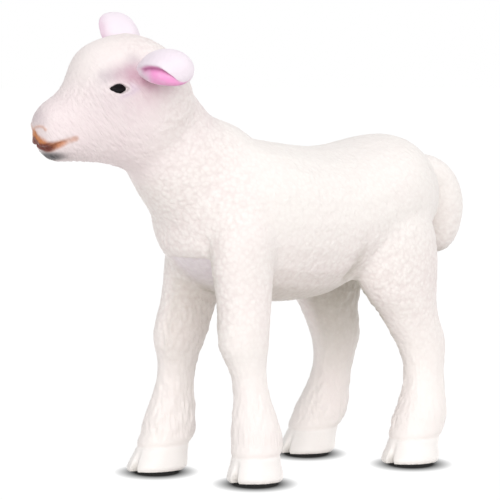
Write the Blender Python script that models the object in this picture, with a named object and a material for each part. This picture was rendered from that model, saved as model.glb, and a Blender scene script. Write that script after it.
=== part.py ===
"""A toy lamb figure of moulded vinyl, standing on its four cloven hooves.

The torso is one moulding. The head with its neck, the tail and the four legs are mouldings of their own
that plug into it, and the ears and eyes sit in the head. The lamb faces -Y, its left side is +X, its soles
are at z = 0, and the middle of its box is over the origin. All sizes are in metres, and every table is in
shares of the named sizes.
"""

import math

import bmesh
import bpy
from mathutils import Matrix, Vector

# Body
BACK_HEIGHT = 0.0400
BODY_LENGTH = 0.0455
BODY_WIDTH = 0.0204
BODY_DEPTH = 0.0200

# Stance of the hooves, how far each is set ahead of it, and how far each leg's top stands behind its hoof
STANCE_LENGTH = 0.0275
STANCE_WIDTH = 0.0168
FORE_LEFT_STEP = 0.0002
FORE_RIGHT_STEP = 0.0006
HIND_LEFT_STEP = 0.0000
HIND_RIGHT_STEP = 0.0015
FORE_LEFT_LEAN = -0.0002
FORE_RIGHT_LEAN = 0.0061
HIND_LEFT_LEAN = 0.0000
HIND_RIGHT_LEAN = 0.0028

# Legs, across and along the lamb
FORELEG_WIDTH = 0.0060
FORE_LEFT_LENGTH = 0.0068
FORE_RIGHT_LENGTH = 0.0077
HIND_LEG_WIDTH = 0.0062
HIND_LEG_LENGTH = 0.0075

# Neck, from its root inside the shoulders to the middle of the skull
NECK_REACH = 0.0166
NECK_RISE = 0.0164
NECK_SIDE = 0.0030
NECK_DEPTH = 0.0160
NECK_WIDTH = 0.0140

# Head
HEAD_LENGTH = 0.0220
HEAD_DEPTH = 0.0170
HEAD_WIDTH = 0.0124
HEAD_TURN = math.radians(22)
HEAD_ROLL = math.radians(4)

# Ears: the left one hangs a little, and the right one is pricked up
EAR_LENGTH = 0.0066
EAR_WIDTH = 0.0068
EAR_THICKNESS = 0.0012
LEFT_EAR_CUP = 0.0031
RIGHT_EAR_CUP = 0.0021
EAR_DROOP = 0.0010
LEFT_EAR_OPENING = math.radians(24)
LEFT_EAR_SWEEP = math.radians(20)
LEFT_EAR_LIFT = math.radians(4)
RIGHT_EAR_OPENING = math.radians(36)
RIGHT_EAR_SWEEP = math.radians(16)
RIGHT_EAR_LIFT = math.radians(58)

# Eyes
EYE_LENGTH = 0.0022
EYE_HEIGHT = 0.0014
EYE_THICKNESS = 0.0012

# Tail
TAIL_LENGTH = 0.0150
TAIL_WIDTH = 0.0072
TAIL_THICKNESS = 0.0064

# Hooves
CLEFT_WIDTH = 0.0009
CLEFT_HEIGHT = 0.0034
CLEFT_LENGTH = 0.0040
DEWCLAW_SIZE = 0.0009

# Plugs and the gap that every joint between mouldings keeps
CLEARANCE = 0.0003
SEAM_MARGIN = 0.0012
BODY_WEB = 0.0036
LEG_PLUG_RADIUS = 0.0014
LEG_PLUG_LENGTH = 0.0026
NECK_PLUG_RADIUS = 0.0024
NECK_PLUG_LENGTH = 0.0050
EAR_PLUG_RADIUS = 0.0008
EAR_PLUG_LENGTH = 0.0024
TAIL_PLUG_RADIUS = 0.0012
TAIL_PLUG_LENGTH = 0.0030
OVERRUN = 0.0100

# Fineness of the moulded skin
SKIN_GRAIN = 0.0009
SKIN_SMOOTHING = 4
SKIN_EASE_SHARE = 0.5
SKIN_KEPT_SHARE = 0.22
LEAST_EDGE = 0.00001
RING_SIDES = 20
RINGS_PER_SPAN = 2
SEAM_EDGE = math.radians(45)

# Along the body from -0.5 ahead, half width, top above the back and bottom below the back
TORSO_SHARES = [
    (-0.422, 0.15, -0.28, 0.50),
    (-0.405, 0.46, -0.15, 0.63),
    (-0.370, 0.66, -0.05, 0.73),
    (-0.300, 0.85, 0.03, 0.85),
    (-0.200, 0.95, 0.07, 0.92),
    (-0.066, 1.00, 0.03, 0.97),
    (0.088, 1.00, -0.01, 0.95),
    (0.220, 0.95, 0.01, 0.83),
    (0.330, 0.88, 0.05, 0.74),
    (0.418, 0.76, 0.04, 0.69),
    (0.484, 0.57, -0.06, 0.62),
    (0.523, 0.34, -0.23, 0.51),
    (0.536, 0.12, -0.35, 0.45),
]

# Height up the leg, behind the hoof, outward from the midline, half width and half length
FORELEG_SHARES = [
    (-0.04, -0.02, 1.02, 0.57, 0.56),
    (0.04, 0.01, 1.00, 0.56, 0.55),
    (0.10, 0.05, 0.985, 0.53, 0.53),
    (0.15, 0.08, 0.97, 0.50, 0.50),
    (0.20, 0.09, 0.96, 0.47, 0.48),
    (0.28, 0.07, 0.93, 0.42, 0.44),
    (0.36, 0.04, 0.90, 0.37, 0.38),
    (0.44, 0.03, 0.88, 0.37, 0.38),
    (0.52, 0.00, 0.85, 0.44, 0.46),
    (0.60, -0.03, 0.83, 0.47, 0.47),
    (0.68, -0.03, 0.80, 0.49, 0.50),
    (0.76, -0.02, 0.78, 0.51, 0.54),
    (0.84, 0.00, 0.76, 0.55, 0.60),
    (0.94, 0.06, 0.73, 0.60, 0.68),
    (1.01, 0.10, 0.70, 0.54, 0.60),
    (1.06, 0.12, 0.67, 0.38, 0.42),
    (1.08, 0.12, 0.65, 0.16, 0.18),
]
HIND_LEG_SHARES = [
    (-0.04, -0.04, 1.01, 0.57, 0.54),
    (0.02, 0.00, 1.00, 0.58, 0.53),
    (0.08, 0.10, 0.99, 0.54, 0.49),
    (0.145, 0.24, 0.98, 0.50, 0.49),
    (0.21, 0.35, 0.97, 0.45, 0.45),
    (0.275, 0.41, 0.95, 0.39, 0.39),
    (0.34, 0.43, 0.93, 0.37, 0.37),
    (0.40, 0.44, 0.91, 0.39, 0.40),
    (0.47, 0.41, 0.88, 0.44, 0.48),
    (0.53, 0.30, 0.86, 0.47, 0.53),
    (0.60, 0.15, 0.84, 0.51, 0.57),
    (0.665, 0.02, 0.81, 0.57, 0.69),
    (0.74, -0.06, 0.78, 0.62, 0.83),
    (0.84, -0.12, 0.74, 0.66, 0.94),
    (0.94, -0.17, 0.68, 0.66, 1.00),
    (1.02, -0.19, 0.62, 0.56, 0.86),
    (1.07, -0.20, 0.58, 0.38, 0.58),
    (1.09, -0.20, 0.56, 0.16, 0.26),
]
LEG_TOP_SHARE = 0.45
# Ahead or behind the hoof, and outward from the midline
LEG_PLUG_SHARES = (0.06, 0.50)
# The row of the pastern in both tables, and how far the dewclaws are behind it and to each side
PASTERN_ROW = 3
DEWCLAW_SHARES = (0.45, 0.18)
DEWCLAW_STRETCH_SHARE = 1.4

# Along the neck, towards the nape, half depth and half width
NECK_SHARES = [
    (0.00, -0.07, 0.40, 0.54),
    (0.14, -0.07, 0.45, 0.55),
    (0.27, -0.05, 0.50, 0.53),
    (0.40, -0.06, 0.47, 0.49),
    (0.52, -0.09, 0.41, 0.44),
    (0.63, -0.07, 0.39, 0.40),
    (0.73, -0.04, 0.38, 0.37),
    (0.85, -0.01, 0.34, 0.34),
]
NECK_ROOT_SHARES = (-0.176, 0.40)
NECK_SEAM_SHARE = 0.42

# Top forward and up, bottom forward and up, and half width, from the middle of the skull
HEAD_SHARES = [
    (0.548, -0.25, 0.535, -0.41, 0.22),
    (0.515, -0.19, 0.480, -0.48, 0.42),
    (0.441, -0.12, 0.391, -0.56, 0.53),
    (0.377, -0.06, 0.268, -0.57, 0.60),
    (0.336, 0.03, 0.141, -0.58, 0.71),
    (0.309, 0.14, 0.036, -0.61, 0.84),
    (0.255, 0.24, -0.064, -0.66, 0.94),
    (0.141, 0.31, -0.200, -0.64, 1.00),
    (-0.008, 0.345, -0.310, -0.52, 1.00),
    (-0.140, 0.30, -0.370, -0.34, 0.88),
    (-0.235, 0.22, -0.380, -0.18, 0.65),
    (-0.295, 0.12, -0.360, -0.04, 0.32),
]
EYE_SHARES = (0.137, 0.86, -0.02)
EYE_SWEEP = math.radians(14)

# Where each ear's root sits on the head: forward, outward and up
LEFT_EAR_ROOT_SHARES = (-0.05, 0.78, 0.065)
RIGHT_EAR_ROOT_SHARES = (-0.05, 0.78, 0.14)
# Along the ear, half width, cup, droop and thickness
EAR_SHARES = [
    (-0.12, 0.42, 0.2, 0.00, 2.0),
    (0.08, 0.56, 0.4, 0.00, 1.7),
    (0.22, 0.78, 0.8, 0.02, 1.2),
    (0.40, 0.95, 1.0, 0.10, 1.0),
    (0.58, 1.00, 0.9, 0.22, 0.9),
    (0.76, 0.89, 0.7, 0.36, 0.8),
    (0.90, 0.62, 0.4, 0.46, 0.7),
    (0.98, 0.30, 0.1, 0.50, 0.5),
]
EAR_SIDES = 8
# How far the peg reaches along the ear, and how far up its cup it sits
EAR_PLUG_SHARES = (0.12, 0.33)

# Behind the tail's root along its thickness, below the back, half width and half thickness
TAIL_ROOT_SHARE = 0.45
TAIL_SHARES = [
    (-0.15, 0.30, 0.42, 0.46),
    (0.28, 0.28, 0.64, 0.68),
    (0.70, 0.30, 0.84, 0.86),
    (1.00, 0.39, 0.95, 0.98),
    (1.14, 0.53, 1.00, 1.00),
    (1.16, 0.68, 0.94, 0.94),
    (1.10, 0.84, 0.76, 0.76),
    (1.03, 0.93, 0.50, 0.50),
    (1.00, 0.97, 0.20, 0.20),
]

# Along the body and below the back
TAIL_PLUG_SHARES = (0.52, 0.32)

VINYL = (0.90, 0.87, 0.84)
EAR_VINYL = (0.92, 0.80, 0.86)
EYE_BLACK = (0.01, 0.01, 0.01)
VINYL_ROUGHNESS = 0.45
EYE_ROUGHNESS = 0.08


def material(name, colour, roughness):
    """A plain Principled material."""
    made = bpy.data.materials.new(name)
    made.use_nodes = True
    shader = made.node_tree.nodes["Principled BSDF"]
    shader.inputs["Base Color"].default_value = (*colour, 1)
    shader.inputs["Roughness"].default_value = roughness
    return made


def add_object(name, mesh):
    """An object for a mesh, linked into the scene."""
    made = bpy.data.objects.new(name, mesh)
    bpy.context.scene.collection.objects.link(made)
    return made


def helper(name, mesh):
    """A cutter or a former, which is no piece of the lamb."""
    made = add_object(name, mesh)
    made.hide_render = True
    made.display_type = "WIRE"
    return made


def between(a, b, c, d, share):
    """The Catmull-Rom curve from b to c, at a share of the way."""
    return tuple(
        0.5 * (2 * q + (r - p) * share + (2 * p - 5 * q + 4 * r - s) * share**2
               + (3 * q - p - 3 * r + s) * share**3)
        for p, q, r, s in zip(a, b, c, d)
    )


def finer(rows, per_span):
    """The same run of rows with per_span steps from each row to the next."""
    ends = [rows[0], *rows, rows[-1]]
    made = []
    for first in range(len(rows) - 1):
        made += [between(*ends[first:first + 4], step / per_span) for step in range(per_span)]
    return [*made, tuple(rows[-1])]


def loft(name, rings):
    """A closed mesh through rings of points, each ring closed by a flat end."""
    mesh = bpy.data.meshes.new(name)
    shape = bmesh.new()
    loops = [[shape.verts.new(point) for point in ring] for ring in rings]
    for lower, upper in zip(loops, loops[1:]):
        for side in range(len(lower)):
            after = (side + 1) % len(lower)
            shape.faces.new((lower[side], lower[after], upper[after], upper[side]))
    shape.faces.new(reversed(loops[0]))
    shape.faces.new(loops[-1])
    bmesh.ops.recalc_face_normals(shape, faces=shape.faces)
    shape.to_mesh(mesh)
    shape.free()
    return mesh


def oval(centre, across, along):
    """A ring of points round a centre, with two half axes as vectors."""
    turns = [2 * math.pi * side / RING_SIDES for side in range(RING_SIDES)]
    return [centre + across * math.cos(turn) + along * math.sin(turn) for turn in turns]


def ellipsoid(name, centre, radii, turn=None):
    """A closed ellipsoid, turned by a rotation matrix if one is given."""
    mesh = bpy.data.meshes.new(name)
    shape = bmesh.new()
    bmesh.ops.create_icosphere(shape, subdivisions=2, radius=1)
    place = Matrix.Translation(centre) @ (turn or Matrix()) @ Matrix.Diagonal((*radii, 1))
    bmesh.ops.transform(shape, matrix=place, verts=shape.verts)
    shape.to_mesh(mesh)
    shape.free()
    return mesh


def rod(name, start, end, radius):
    """A closed cylinder between two points."""
    axis = (end - start).normalized()
    across = axis.orthogonal().normalized() * radius
    along = axis.cross(across)
    return loft(name, [oval(start, across, along), oval(end, across, along)])


def block(name, centre, size, turn=None):
    """A closed box."""
    mesh = bpy.data.meshes.new(name)
    shape = bmesh.new()
    bmesh.ops.create_cube(shape, size=1)
    place = Matrix.Translation(centre) @ (turn or Matrix()) @ Matrix.Diagonal((*size, 1))
    bmesh.ops.transform(shape, matrix=place, verts=shape.verts)
    shape.to_mesh(mesh)
    shape.free()
    return mesh


def joined(name, meshes):
    """One mesh that holds several."""
    shape = bmesh.new()
    for mesh in meshes:
        shape.from_mesh(mesh)
    made = bpy.data.meshes.new(name)
    shape.to_mesh(made)
    shape.free()
    return made


def baked(former):
    """The mesh of an object with its modifiers applied."""
    graph = bpy.context.evaluated_depsgraph_get()
    return bpy.data.meshes.new_from_object(former.evaluated_get(graph))


def cut(obj, operation, other):
    """A Boolean with another object."""
    step = obj.modifiers.new(f"{operation.lower()} {other.name}", "BOOLEAN")
    step.operation = operation
    step.solver = "EXACT"
    step.object = other


def torso_mesh():
    """The barrel of the body, from the breast to the rump."""
    rings = []
    for along, half_width, top, bottom in finer(TORSO_SHARES, RINGS_PER_SPAN):
        high = BACK_HEIGHT + top * BODY_DEPTH
        low = BACK_HEIGHT - bottom * BODY_DEPTH
        centre = Vector((0, along * BODY_LENGTH, (high + low) / 2))
        across = Vector((half_width * BODY_WIDTH / 2, 0, 0))
        rings.append(oval(centre, across, Vector((0, 0, (high - low) / 2))))
    return loft("torso form", rings)


def neck_root():
    """The neck's lower end, inside the shoulders."""
    along, below = NECK_ROOT_SHARES
    return Vector((0, along * BODY_LENGTH, BACK_HEIGHT - below * BODY_DEPTH))


def neck_run():
    """From the neck's root to the middle of the skull."""
    return Vector((-NECK_SIDE, -NECK_REACH, NECK_RISE))


def neck_mesh():
    """The neck, which starts inside the shoulders and ends inside the skull."""
    root, run = neck_root(), neck_run()
    nape = run.cross(Vector((1, 0, 0))).normalized()
    rings = []
    for along, back, half_depth, half_width in finer(NECK_SHARES, RINGS_PER_SPAN):
        centre = root + run * along + nape * back * NECK_DEPTH
        rings.append(oval(centre, Vector((half_width * NECK_WIDTH, 0, 0)), nape * half_depth * NECK_DEPTH))
    return loft("neck form", rings)


def head_frame():
    """The skull's middle, with local X to the head's left, -Y forward and Z up."""
    turn = Matrix.Rotation(-HEAD_TURN, 4, "Z") @ Matrix.Rotation(HEAD_ROLL, 4, "Y")
    return Matrix.Translation(neck_root() + neck_run()) @ turn


def on_head(forward, outward, up):
    """A point of the head, from shares of its length, half width and depth."""
    local = Vector((outward * HEAD_WIDTH / 2, -forward * HEAD_LENGTH, up * HEAD_DEPTH))
    return head_frame() @ local


def head_mesh(grow=0):
    """The skull, cheeks and muzzle, with each ring larger by grow."""
    rings = []
    for row in finer(HEAD_SHARES, RINGS_PER_SPAN):
        top = on_head(row[0], 0, row[1])
        bottom = on_head(row[2], 0, row[3])
        across = on_head(0, row[4], 0) - on_head(0, 0, 0)
        tall = (top - bottom) / 2
        across += across.normalized() * grow
        tall += tall.normalized() * grow
        rings.append(oval((top + bottom) / 2, across, tall))
    return loft("head form", rings)


class Leg:
    """One leg: its side, +1 for the left, its end, -1 for the front, its stance and its build."""

    def __init__(self, name, side, end, stance, build):
        self.name = name
        self.side = side
        # How far the hoof is set ahead, and how far the leg's top stands behind it
        step, self.lean = stance
        self.hoof_y = end * STANCE_LENGTH / 2 - step
        self.width, self.length, self.shares = build
        self.height = BACK_HEIGHT - LEG_TOP_SHARE * BODY_DEPTH

    def centre(self, up, back, outward):
        """The leg's middle at a share of its height."""
        x = self.side * outward * STANCE_WIDTH / 2
        y = self.hoof_y + back * self.length + up * self.lean
        return Vector((x, y, up * self.height))

    def rings(self, per_span, grow=0):
        """The leg's rings, each larger by grow."""
        made = []
        for up, back, outward, half_width, half_length in finer(self.shares, per_span):
            across = Vector((half_width * self.width + grow, 0, 0))
            along = Vector((0, half_length * self.length + grow, 0))
            made.append(oval(self.centre(up, back, outward), across, along))
        return made

    def form(self):
        """The leg's own shape with its two dewclaws, before it is blended into the body."""
        pastern = self.centre(*self.shares[PASTERN_ROW][:3])
        behind = Vector((0, DEWCLAW_SHARES[0] * self.length, 0))
        apart = Vector((DEWCLAW_SHARES[1] * self.width, 0, 0))
        size = (DEWCLAW_SIZE, DEWCLAW_SIZE, DEWCLAW_SIZE * DEWCLAW_STRETCH_SHARE)
        claws = [ellipsoid("dewclaw form", pastern + behind + apart * side, size) for side in (-1, 1)]
        shaft = loft(f"{self.name} shaft form", self.rings(RINGS_PER_SPAN))
        return joined(f"{self.name} form", [shaft, *claws])

    def region(self, grow=0):
        """The space that the leg's moulding fills, up to its seam and to the web in the body's middle."""
        rings = self.rings(1, SEAM_MARGIN + grow)
        inner = BODY_WEB / 2 - grow
        for ring in rings:
            for point in ring:
                point.x = self.side * max(self.side * point.x, inner)
        lift = Vector((0, 0, grow))
        rings[-1] = [point + lift for point in rings[-1]]
        return loft(f"{self.name} region", rings)

    def plug(self, grow=0):
        """The peg on top of the leg."""
        up, _, _, _, _ = self.shares[-1]
        top = self.centre(up, *LEG_PLUG_SHARES)
        start = top - Vector((0, 0, LEG_PLUG_LENGTH))
        end = top + Vector((0, 0, LEG_PLUG_LENGTH + grow))
        return rod(f"{self.name} plug", start, end, LEG_PLUG_RADIUS + grow)

    def cleft(self):
        """The wedge between the hoof's two claws, which opens to the front and to the sole."""
        _, back, outward, _, half_length = self.shares[1]
        toe = self.centre(0, back - half_length, outward)
        half = Vector((CLEFT_WIDTH / 2, 0, 0))
        rings = []
        for y, rise in ((-OVERRUN, CLEFT_HEIGHT), (CLEFT_LENGTH, 0)):
            foot = toe + Vector((0, y, 0))
            low = foot - Vector((0, 0, OVERRUN))
            rings.append([low - half, low + half, foot + half, foot + Vector((0, 0, rise)), foot - half])
        return loft(f"{self.name} cleft", rings)


def legs():
    """The four legs."""
    fore_left = (FORELEG_WIDTH, FORE_LEFT_LENGTH, FORELEG_SHARES)
    fore_right = (FORELEG_WIDTH, FORE_RIGHT_LENGTH, FORELEG_SHARES)
    hind = (HIND_LEG_WIDTH, HIND_LEG_LENGTH, HIND_LEG_SHARES)
    return [
        Leg("foreleg_left", 1, -1, (FORE_LEFT_STEP, FORE_LEFT_LEAN), fore_left),
        Leg("foreleg_right", -1, -1, (FORE_RIGHT_STEP, FORE_RIGHT_LEAN), fore_right),
        Leg("hind_leg_left", 1, 1, (HIND_LEFT_STEP, HIND_LEFT_LEAN), hind),
        Leg("hind_leg_right", -1, 1, (HIND_RIGHT_STEP, HIND_RIGHT_LEAN), hind),
    ]


class Ear:
    """One ear, from its root on the head along its own direction."""

    def __init__(self, name, side, cup, root_shares, angles):
        self.name = name
        self.cup = cup
        opening, sweep, lift = angles
        forward, outward, up = root_shares
        self.root = on_head(forward, side * outward, up)
        turn = head_frame().to_3x3()
        level = turn @ Vector((side * math.cos(sweep), math.sin(sweep), 0))
        self.along = (level * math.cos(lift) + turn @ Vector((0, 0, math.sin(lift)))).normalized()
        ahead = turn @ Vector((side * math.sin(sweep), -math.cos(sweep), 0))
        back = ahead.cross(self.along) * side
        opened = Matrix.Rotation(-side * opening, 3, self.along)
        self.ahead = opened @ ahead
        self.back = opened @ (back if back.z > 0 else -back)

    def rings(self):
        """Cupped sections: the convex back, then the hollow front."""
        made = []
        steps = [math.pi * step / EAR_SIDES for step in range(EAR_SIDES + 1)]
        for reach, half_width, cup, droop, thickness in finer(EAR_SHARES, RINGS_PER_SPAN):
            centre = self.root + self.along * reach * EAR_LENGTH - Vector((0, 0, droop * EAR_DROOP))
            ring = []
            for turns, face in ((steps, 1), (steps[-2:0:-1], -1)):
                for turn in turns:
                    wide = -math.cos(turn) * half_width * EAR_WIDTH / 2
                    bulge = cup * self.cup * math.sin(turn) ** 2
                    skin = face * math.sin(turn) * thickness * EAR_THICKNESS / 2
                    ring.append(centre + self.ahead * wide + self.back * (bulge + skin))
            made.append(ring)
        return made

    def mesh(self):
        """The ear's leaf."""
        return loft(self.name, self.rings())

    def plug(self, grow=0):
        """The peg at the ear's root."""
        middle = self.root + self.back * EAR_PLUG_SHARES[1] * self.cup
        start = middle - self.along * (EAR_PLUG_LENGTH + grow)
        end = middle + self.along * EAR_PLUG_SHARES[0] * EAR_LENGTH
        return rod(f"{self.name} plug", start, end, EAR_PLUG_RADIUS + grow)


def ears():
    """The two ears."""
    left_angles = (LEFT_EAR_OPENING, LEFT_EAR_SWEEP, LEFT_EAR_LIFT)
    right_angles = (RIGHT_EAR_OPENING, RIGHT_EAR_SWEEP, RIGHT_EAR_LIFT)
    return [
        Ear("ear_left", 1, LEFT_EAR_CUP, LEFT_EAR_ROOT_SHARES, left_angles),
        Ear("ear_right", -1, RIGHT_EAR_CUP, RIGHT_EAR_ROOT_SHARES, right_angles),
    ]


def eye_mesh(name, side, grow=0):
    """An eye lens, or with grow its socket."""
    forward, outward, up = EYE_SHARES
    place = on_head(forward, side * outward, up)
    turn = head_frame().to_3x3().to_4x4() @ Matrix.Rotation(-side * EYE_SWEEP, 4, "Z")
    sizes = (EYE_THICKNESS / 2 + grow, EYE_LENGTH / 2 + grow, EYE_HEIGHT / 2 + grow)
    return ellipsoid(name, place, sizes, turn)


def tail_rings():
    """The tail's rings, from its root inside the rump down to its tip."""
    rings = []
    for behind, below, half_width, half_depth in finer(TAIL_SHARES, RINGS_PER_SPAN):
        y = (TAIL_ROOT_SHARE * BODY_LENGTH) + behind * TAIL_THICKNESS
        centre = Vector((0, y, BACK_HEIGHT - below * TAIL_LENGTH))
        rings.append((centre, half_width * TAIL_WIDTH / 2, half_depth * TAIL_THICKNESS / 2))
    made = []
    for index, (centre, half_width, half_depth) in enumerate(rings):
        before = rings[max(index - 1, 0)][0]
        after = rings[min(index + 1, len(rings) - 1)][0]
        outward = Vector((1, 0, 0)).cross(after - before).normalized()
        made.append(oval(centre, Vector((half_width, 0, 0)), outward * half_depth))
    return made


def tail_plug(grow=0):
    """The peg that holds the tail in the rump."""
    middle = Vector((0, TAIL_PLUG_SHARES[0] * BODY_LENGTH, BACK_HEIGHT - TAIL_PLUG_SHARES[1] * BODY_DEPTH))
    reach = Vector((0, TAIL_PLUG_LENGTH, 0))
    inner = Vector((0, grow, 0))
    return rod("tail plug", middle - reach - inner, middle + reach, TAIL_PLUG_RADIUS + grow)


def neck_seam():
    """The middle of the seam across the neck, and its direction towards the head."""
    run = neck_run()
    return neck_root() + run * NECK_SEAM_SHARE, run.normalized()


def head_region(grow=0):
    """A half space ahead of the neck's seam, as a wide box."""
    middle, towards_head = neck_seam()
    size = 2 * (NECK_REACH + HEAD_LENGTH + HEAD_DEPTH)
    turn = towards_head.to_track_quat("Z", "Y").to_matrix().to_4x4()
    return block("head region", middle + towards_head * (size / 2 - grow), (size, size, size), turn)


def neck_plug(grow=0):
    """The peg of the neck, which goes down into the shoulders."""
    middle, towards_head = neck_seam()
    end = middle - towards_head * (NECK_PLUG_LENGTH + grow)
    return rod("neck plug", middle + towards_head * NECK_PLUG_LENGTH, end, NECK_PLUG_RADIUS + grow)


def ground():
    """The space below the soles."""
    size = 2 * (BODY_LENGTH + NECK_REACH + HEAD_LENGTH)
    return block("ground", Vector((0, 0, -size / 2)), (size, size, size))


def close_slivers(mesh):
    """Close up the edges and thin faces that a cut leaves."""
    shape = bmesh.new()
    shape.from_mesh(mesh)
    bmesh.ops.triangulate(shape, faces=shape.faces)
    bmesh.ops.dissolve_degenerate(shape, dist=LEAST_EDGE, edges=shape.edges)
    shape.to_mesh(mesh)
    shape.free()


def blended(name, meshes):
    """A helper that holds several closed forms as one skin."""
    made = helper(name, joined(name, meshes))
    step = made.modifiers.new("blend", "REMESH")
    step.mode = "VOXEL"
    step.voxel_size = SKIN_GRAIN
    return made


def body_skin(all_legs):
    """The whole lamb without ears and tail, blended into one skin with flat soles."""
    forms = [torso_mesh(), neck_mesh(), head_mesh(), *[leg.form() for leg in all_legs]]
    former = blended("body former", forms)
    ease = former.modifiers.new("ease", "SMOOTH")
    ease.factor = SKIN_EASE_SHARE
    ease.iterations = SKIN_SMOOTHING
    thin = former.modifiers.new("thin", "DECIMATE")
    thin.ratio = SKIN_KEPT_SHARE
    cut(former, "DIFFERENCE", helper("ground", ground()))
    skin = baked(former)
    close_slivers(skin)
    return skin


def swollen(name, skin):
    """A helper that holds the skin moved outwards by the clearance."""
    made = helper(name, skin.copy())
    step = made.modifiers.new("swell", "DISPLACE")
    step.mid_level = 0
    step.strength = CLEARANCE
    return made


def piece(name, mesh, finish):
    """One moulding of the lamb."""
    made = add_object(name, mesh)
    made.data.materials.clear()
    made.data.materials.append(finish)
    return made


def add_legs(skin, torso, finish):
    """The four legs, each cut from the skin along its seam, with its peg and its socket."""
    for leg in legs():
        moulding = piece(leg.name, skin.copy(), finish())
        cut(moulding, "INTERSECT", helper(f"{leg.name} region", leg.region()))
        cut(moulding, "UNION", helper(f"{leg.name} plug", leg.plug()))
        cut(moulding, "DIFFERENCE", helper(f"{leg.name} cleft", leg.cleft()))
        cut(torso, "DIFFERENCE", helper(f"{leg.name} seam", leg.region(CLEARANCE)))
        cut(torso, "DIFFERENCE", helper(f"{leg.name} socket", leg.plug(CLEARANCE)))


def add_head(skin, torso, finish):
    """The head and neck, with the peg that goes down into the shoulders."""
    head = piece("head", skin.copy(), finish())
    cut(head, "INTERSECT", helper("head region", head_region()))
    cut(head, "UNION", helper("neck plug", neck_plug()))
    cut(torso, "DIFFERENCE", helper("neck seam", head_region(CLEARANCE)))
    cut(torso, "DIFFERENCE", helper("neck socket", neck_plug(CLEARANCE)))
    return head


def add_ears(head):
    """The ears, seated on the head by pegs."""
    around = blended("head around the ears", [head_mesh(CLEARANCE)])
    for ear in ears():
        leaf = piece(ear.name, ear.mesh(), material(f"{ear.name}_vinyl", EAR_VINYL, VINYL_ROUGHNESS))
        cut(leaf, "DIFFERENCE", around)
        cut(leaf, "UNION", helper(f"{ear.name} plug", ear.plug()))
        cut(head, "DIFFERENCE", helper(f"{ear.name} socket", ear.plug(CLEARANCE)))


def add_eyes(head):
    """The eyes, each in a socket of its own shape."""
    for name, side in (("eye_left", 1), ("eye_right", -1)):
        piece(name, eye_mesh(name, side), material(f"{name}_black", EYE_BLACK, EYE_ROUGHNESS))
        cut(head, "DIFFERENCE", helper(f"{name} socket", eye_mesh(f"{name} socket", side, CLEARANCE)))


def add_tail(skin, torso, finish):
    """The tail, seated on the rump by a peg."""
    tail = piece("tail", loft("tail", tail_rings()), finish())
    cut(tail, "DIFFERENCE", swollen("skin around the tail", skin))
    cut(tail, "UNION", helper("tail plug", tail_plug()))
    cut(torso, "DIFFERENCE", helper("tail socket", tail_plug(CLEARANCE)))


def settle():
    """Turn each piece's cuts into its own mesh, shaded smooth but for its seams, and drop the helpers."""
    pieces = [made for made in bpy.data.objects if not made.hide_render]
    meshes = [baked(made) for made in pieces]
    for made, mesh in zip(pieces, meshes):
        made.modifiers.clear()
        made.data = mesh
        close_slivers(mesh)
        mesh.shade_smooth()
        mesh.set_sharp_from_angle(angle=SEAM_EDGE)
    for made in list(bpy.data.objects):
        if made.hide_render:
            bpy.data.objects.remove(made)


def stand_over_origin():
    """Move every piece so that the middle of the lamb's box is over the origin."""
    points = [vertex.co for made in bpy.data.objects for vertex in made.data.vertices]
    middle_x = (min(point.x for point in points) + max(point.x for point in points)) / 2
    middle_y = (min(point.y for point in points) + max(point.y for point in points)) / 2
    for made in bpy.data.objects:
        made.data.transform(Matrix.Translation((-middle_x, -middle_y, 0)))


def main():
    """Clear the scene and build the lamb."""
    for obj in list(bpy.data.objects):
        bpy.data.objects.remove(obj)

    def white():
        return material("white_vinyl", VINYL, VINYL_ROUGHNESS)

    skin = body_skin(legs())
    torso = piece("torso", skin.copy(), white())
    add_legs(skin, torso, white)
    head = add_head(skin, torso, white)
    add_ears(head)
    add_eyes(head)
    add_tail(skin, torso, white)
    settle()
    stand_over_origin()


main()
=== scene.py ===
"""Looks of a toy lamb of moulded vinyl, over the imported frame.

The lamb's white skin is one blended form with its wool, hair, hooves and face worked into the mesh. It is
then parted along the mouldings' seams into closed pieces that stand for the frame's nodes. The lamb's left is
+X and its front is -Y. Lengths are in metres where no comment says millimetres.
"""
import math

import bmesh
import bpy
import numpy as np
from mathutils import Matrix, Vector, noise


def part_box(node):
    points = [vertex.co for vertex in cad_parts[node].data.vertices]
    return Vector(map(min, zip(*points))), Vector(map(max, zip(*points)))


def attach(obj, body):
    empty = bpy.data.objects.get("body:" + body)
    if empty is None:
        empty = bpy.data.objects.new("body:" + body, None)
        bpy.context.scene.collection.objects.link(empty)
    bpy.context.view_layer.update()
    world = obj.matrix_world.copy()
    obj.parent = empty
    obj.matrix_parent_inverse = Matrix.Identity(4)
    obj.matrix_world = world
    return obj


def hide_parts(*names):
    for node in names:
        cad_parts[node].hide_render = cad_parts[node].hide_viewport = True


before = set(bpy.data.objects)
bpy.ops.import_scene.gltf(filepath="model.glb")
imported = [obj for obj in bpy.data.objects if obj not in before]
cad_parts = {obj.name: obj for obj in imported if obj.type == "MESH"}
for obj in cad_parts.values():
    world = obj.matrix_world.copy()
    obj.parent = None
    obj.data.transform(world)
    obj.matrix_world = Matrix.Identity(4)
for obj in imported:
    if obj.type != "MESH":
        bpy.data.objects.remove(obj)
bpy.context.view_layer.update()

# The forms' sizes, as in the solids' source. Body
BACK_HEIGHT = 0.0400
BODY_LENGTH = 0.0455
BODY_WIDTH = 0.0204
BODY_DEPTH = 0.0200

# Stance of the hooves
STANCE_LENGTH = 0.0275
STANCE_WIDTH = 0.0168

# Neck, from its root inside the shoulders to the middle of the skull
NECK_REACH = 0.0166
NECK_RISE = 0.0164
NECK_SIDE = 0.0030
NECK_DEPTH = 0.0160
NECK_WIDTH = 0.0140

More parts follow.
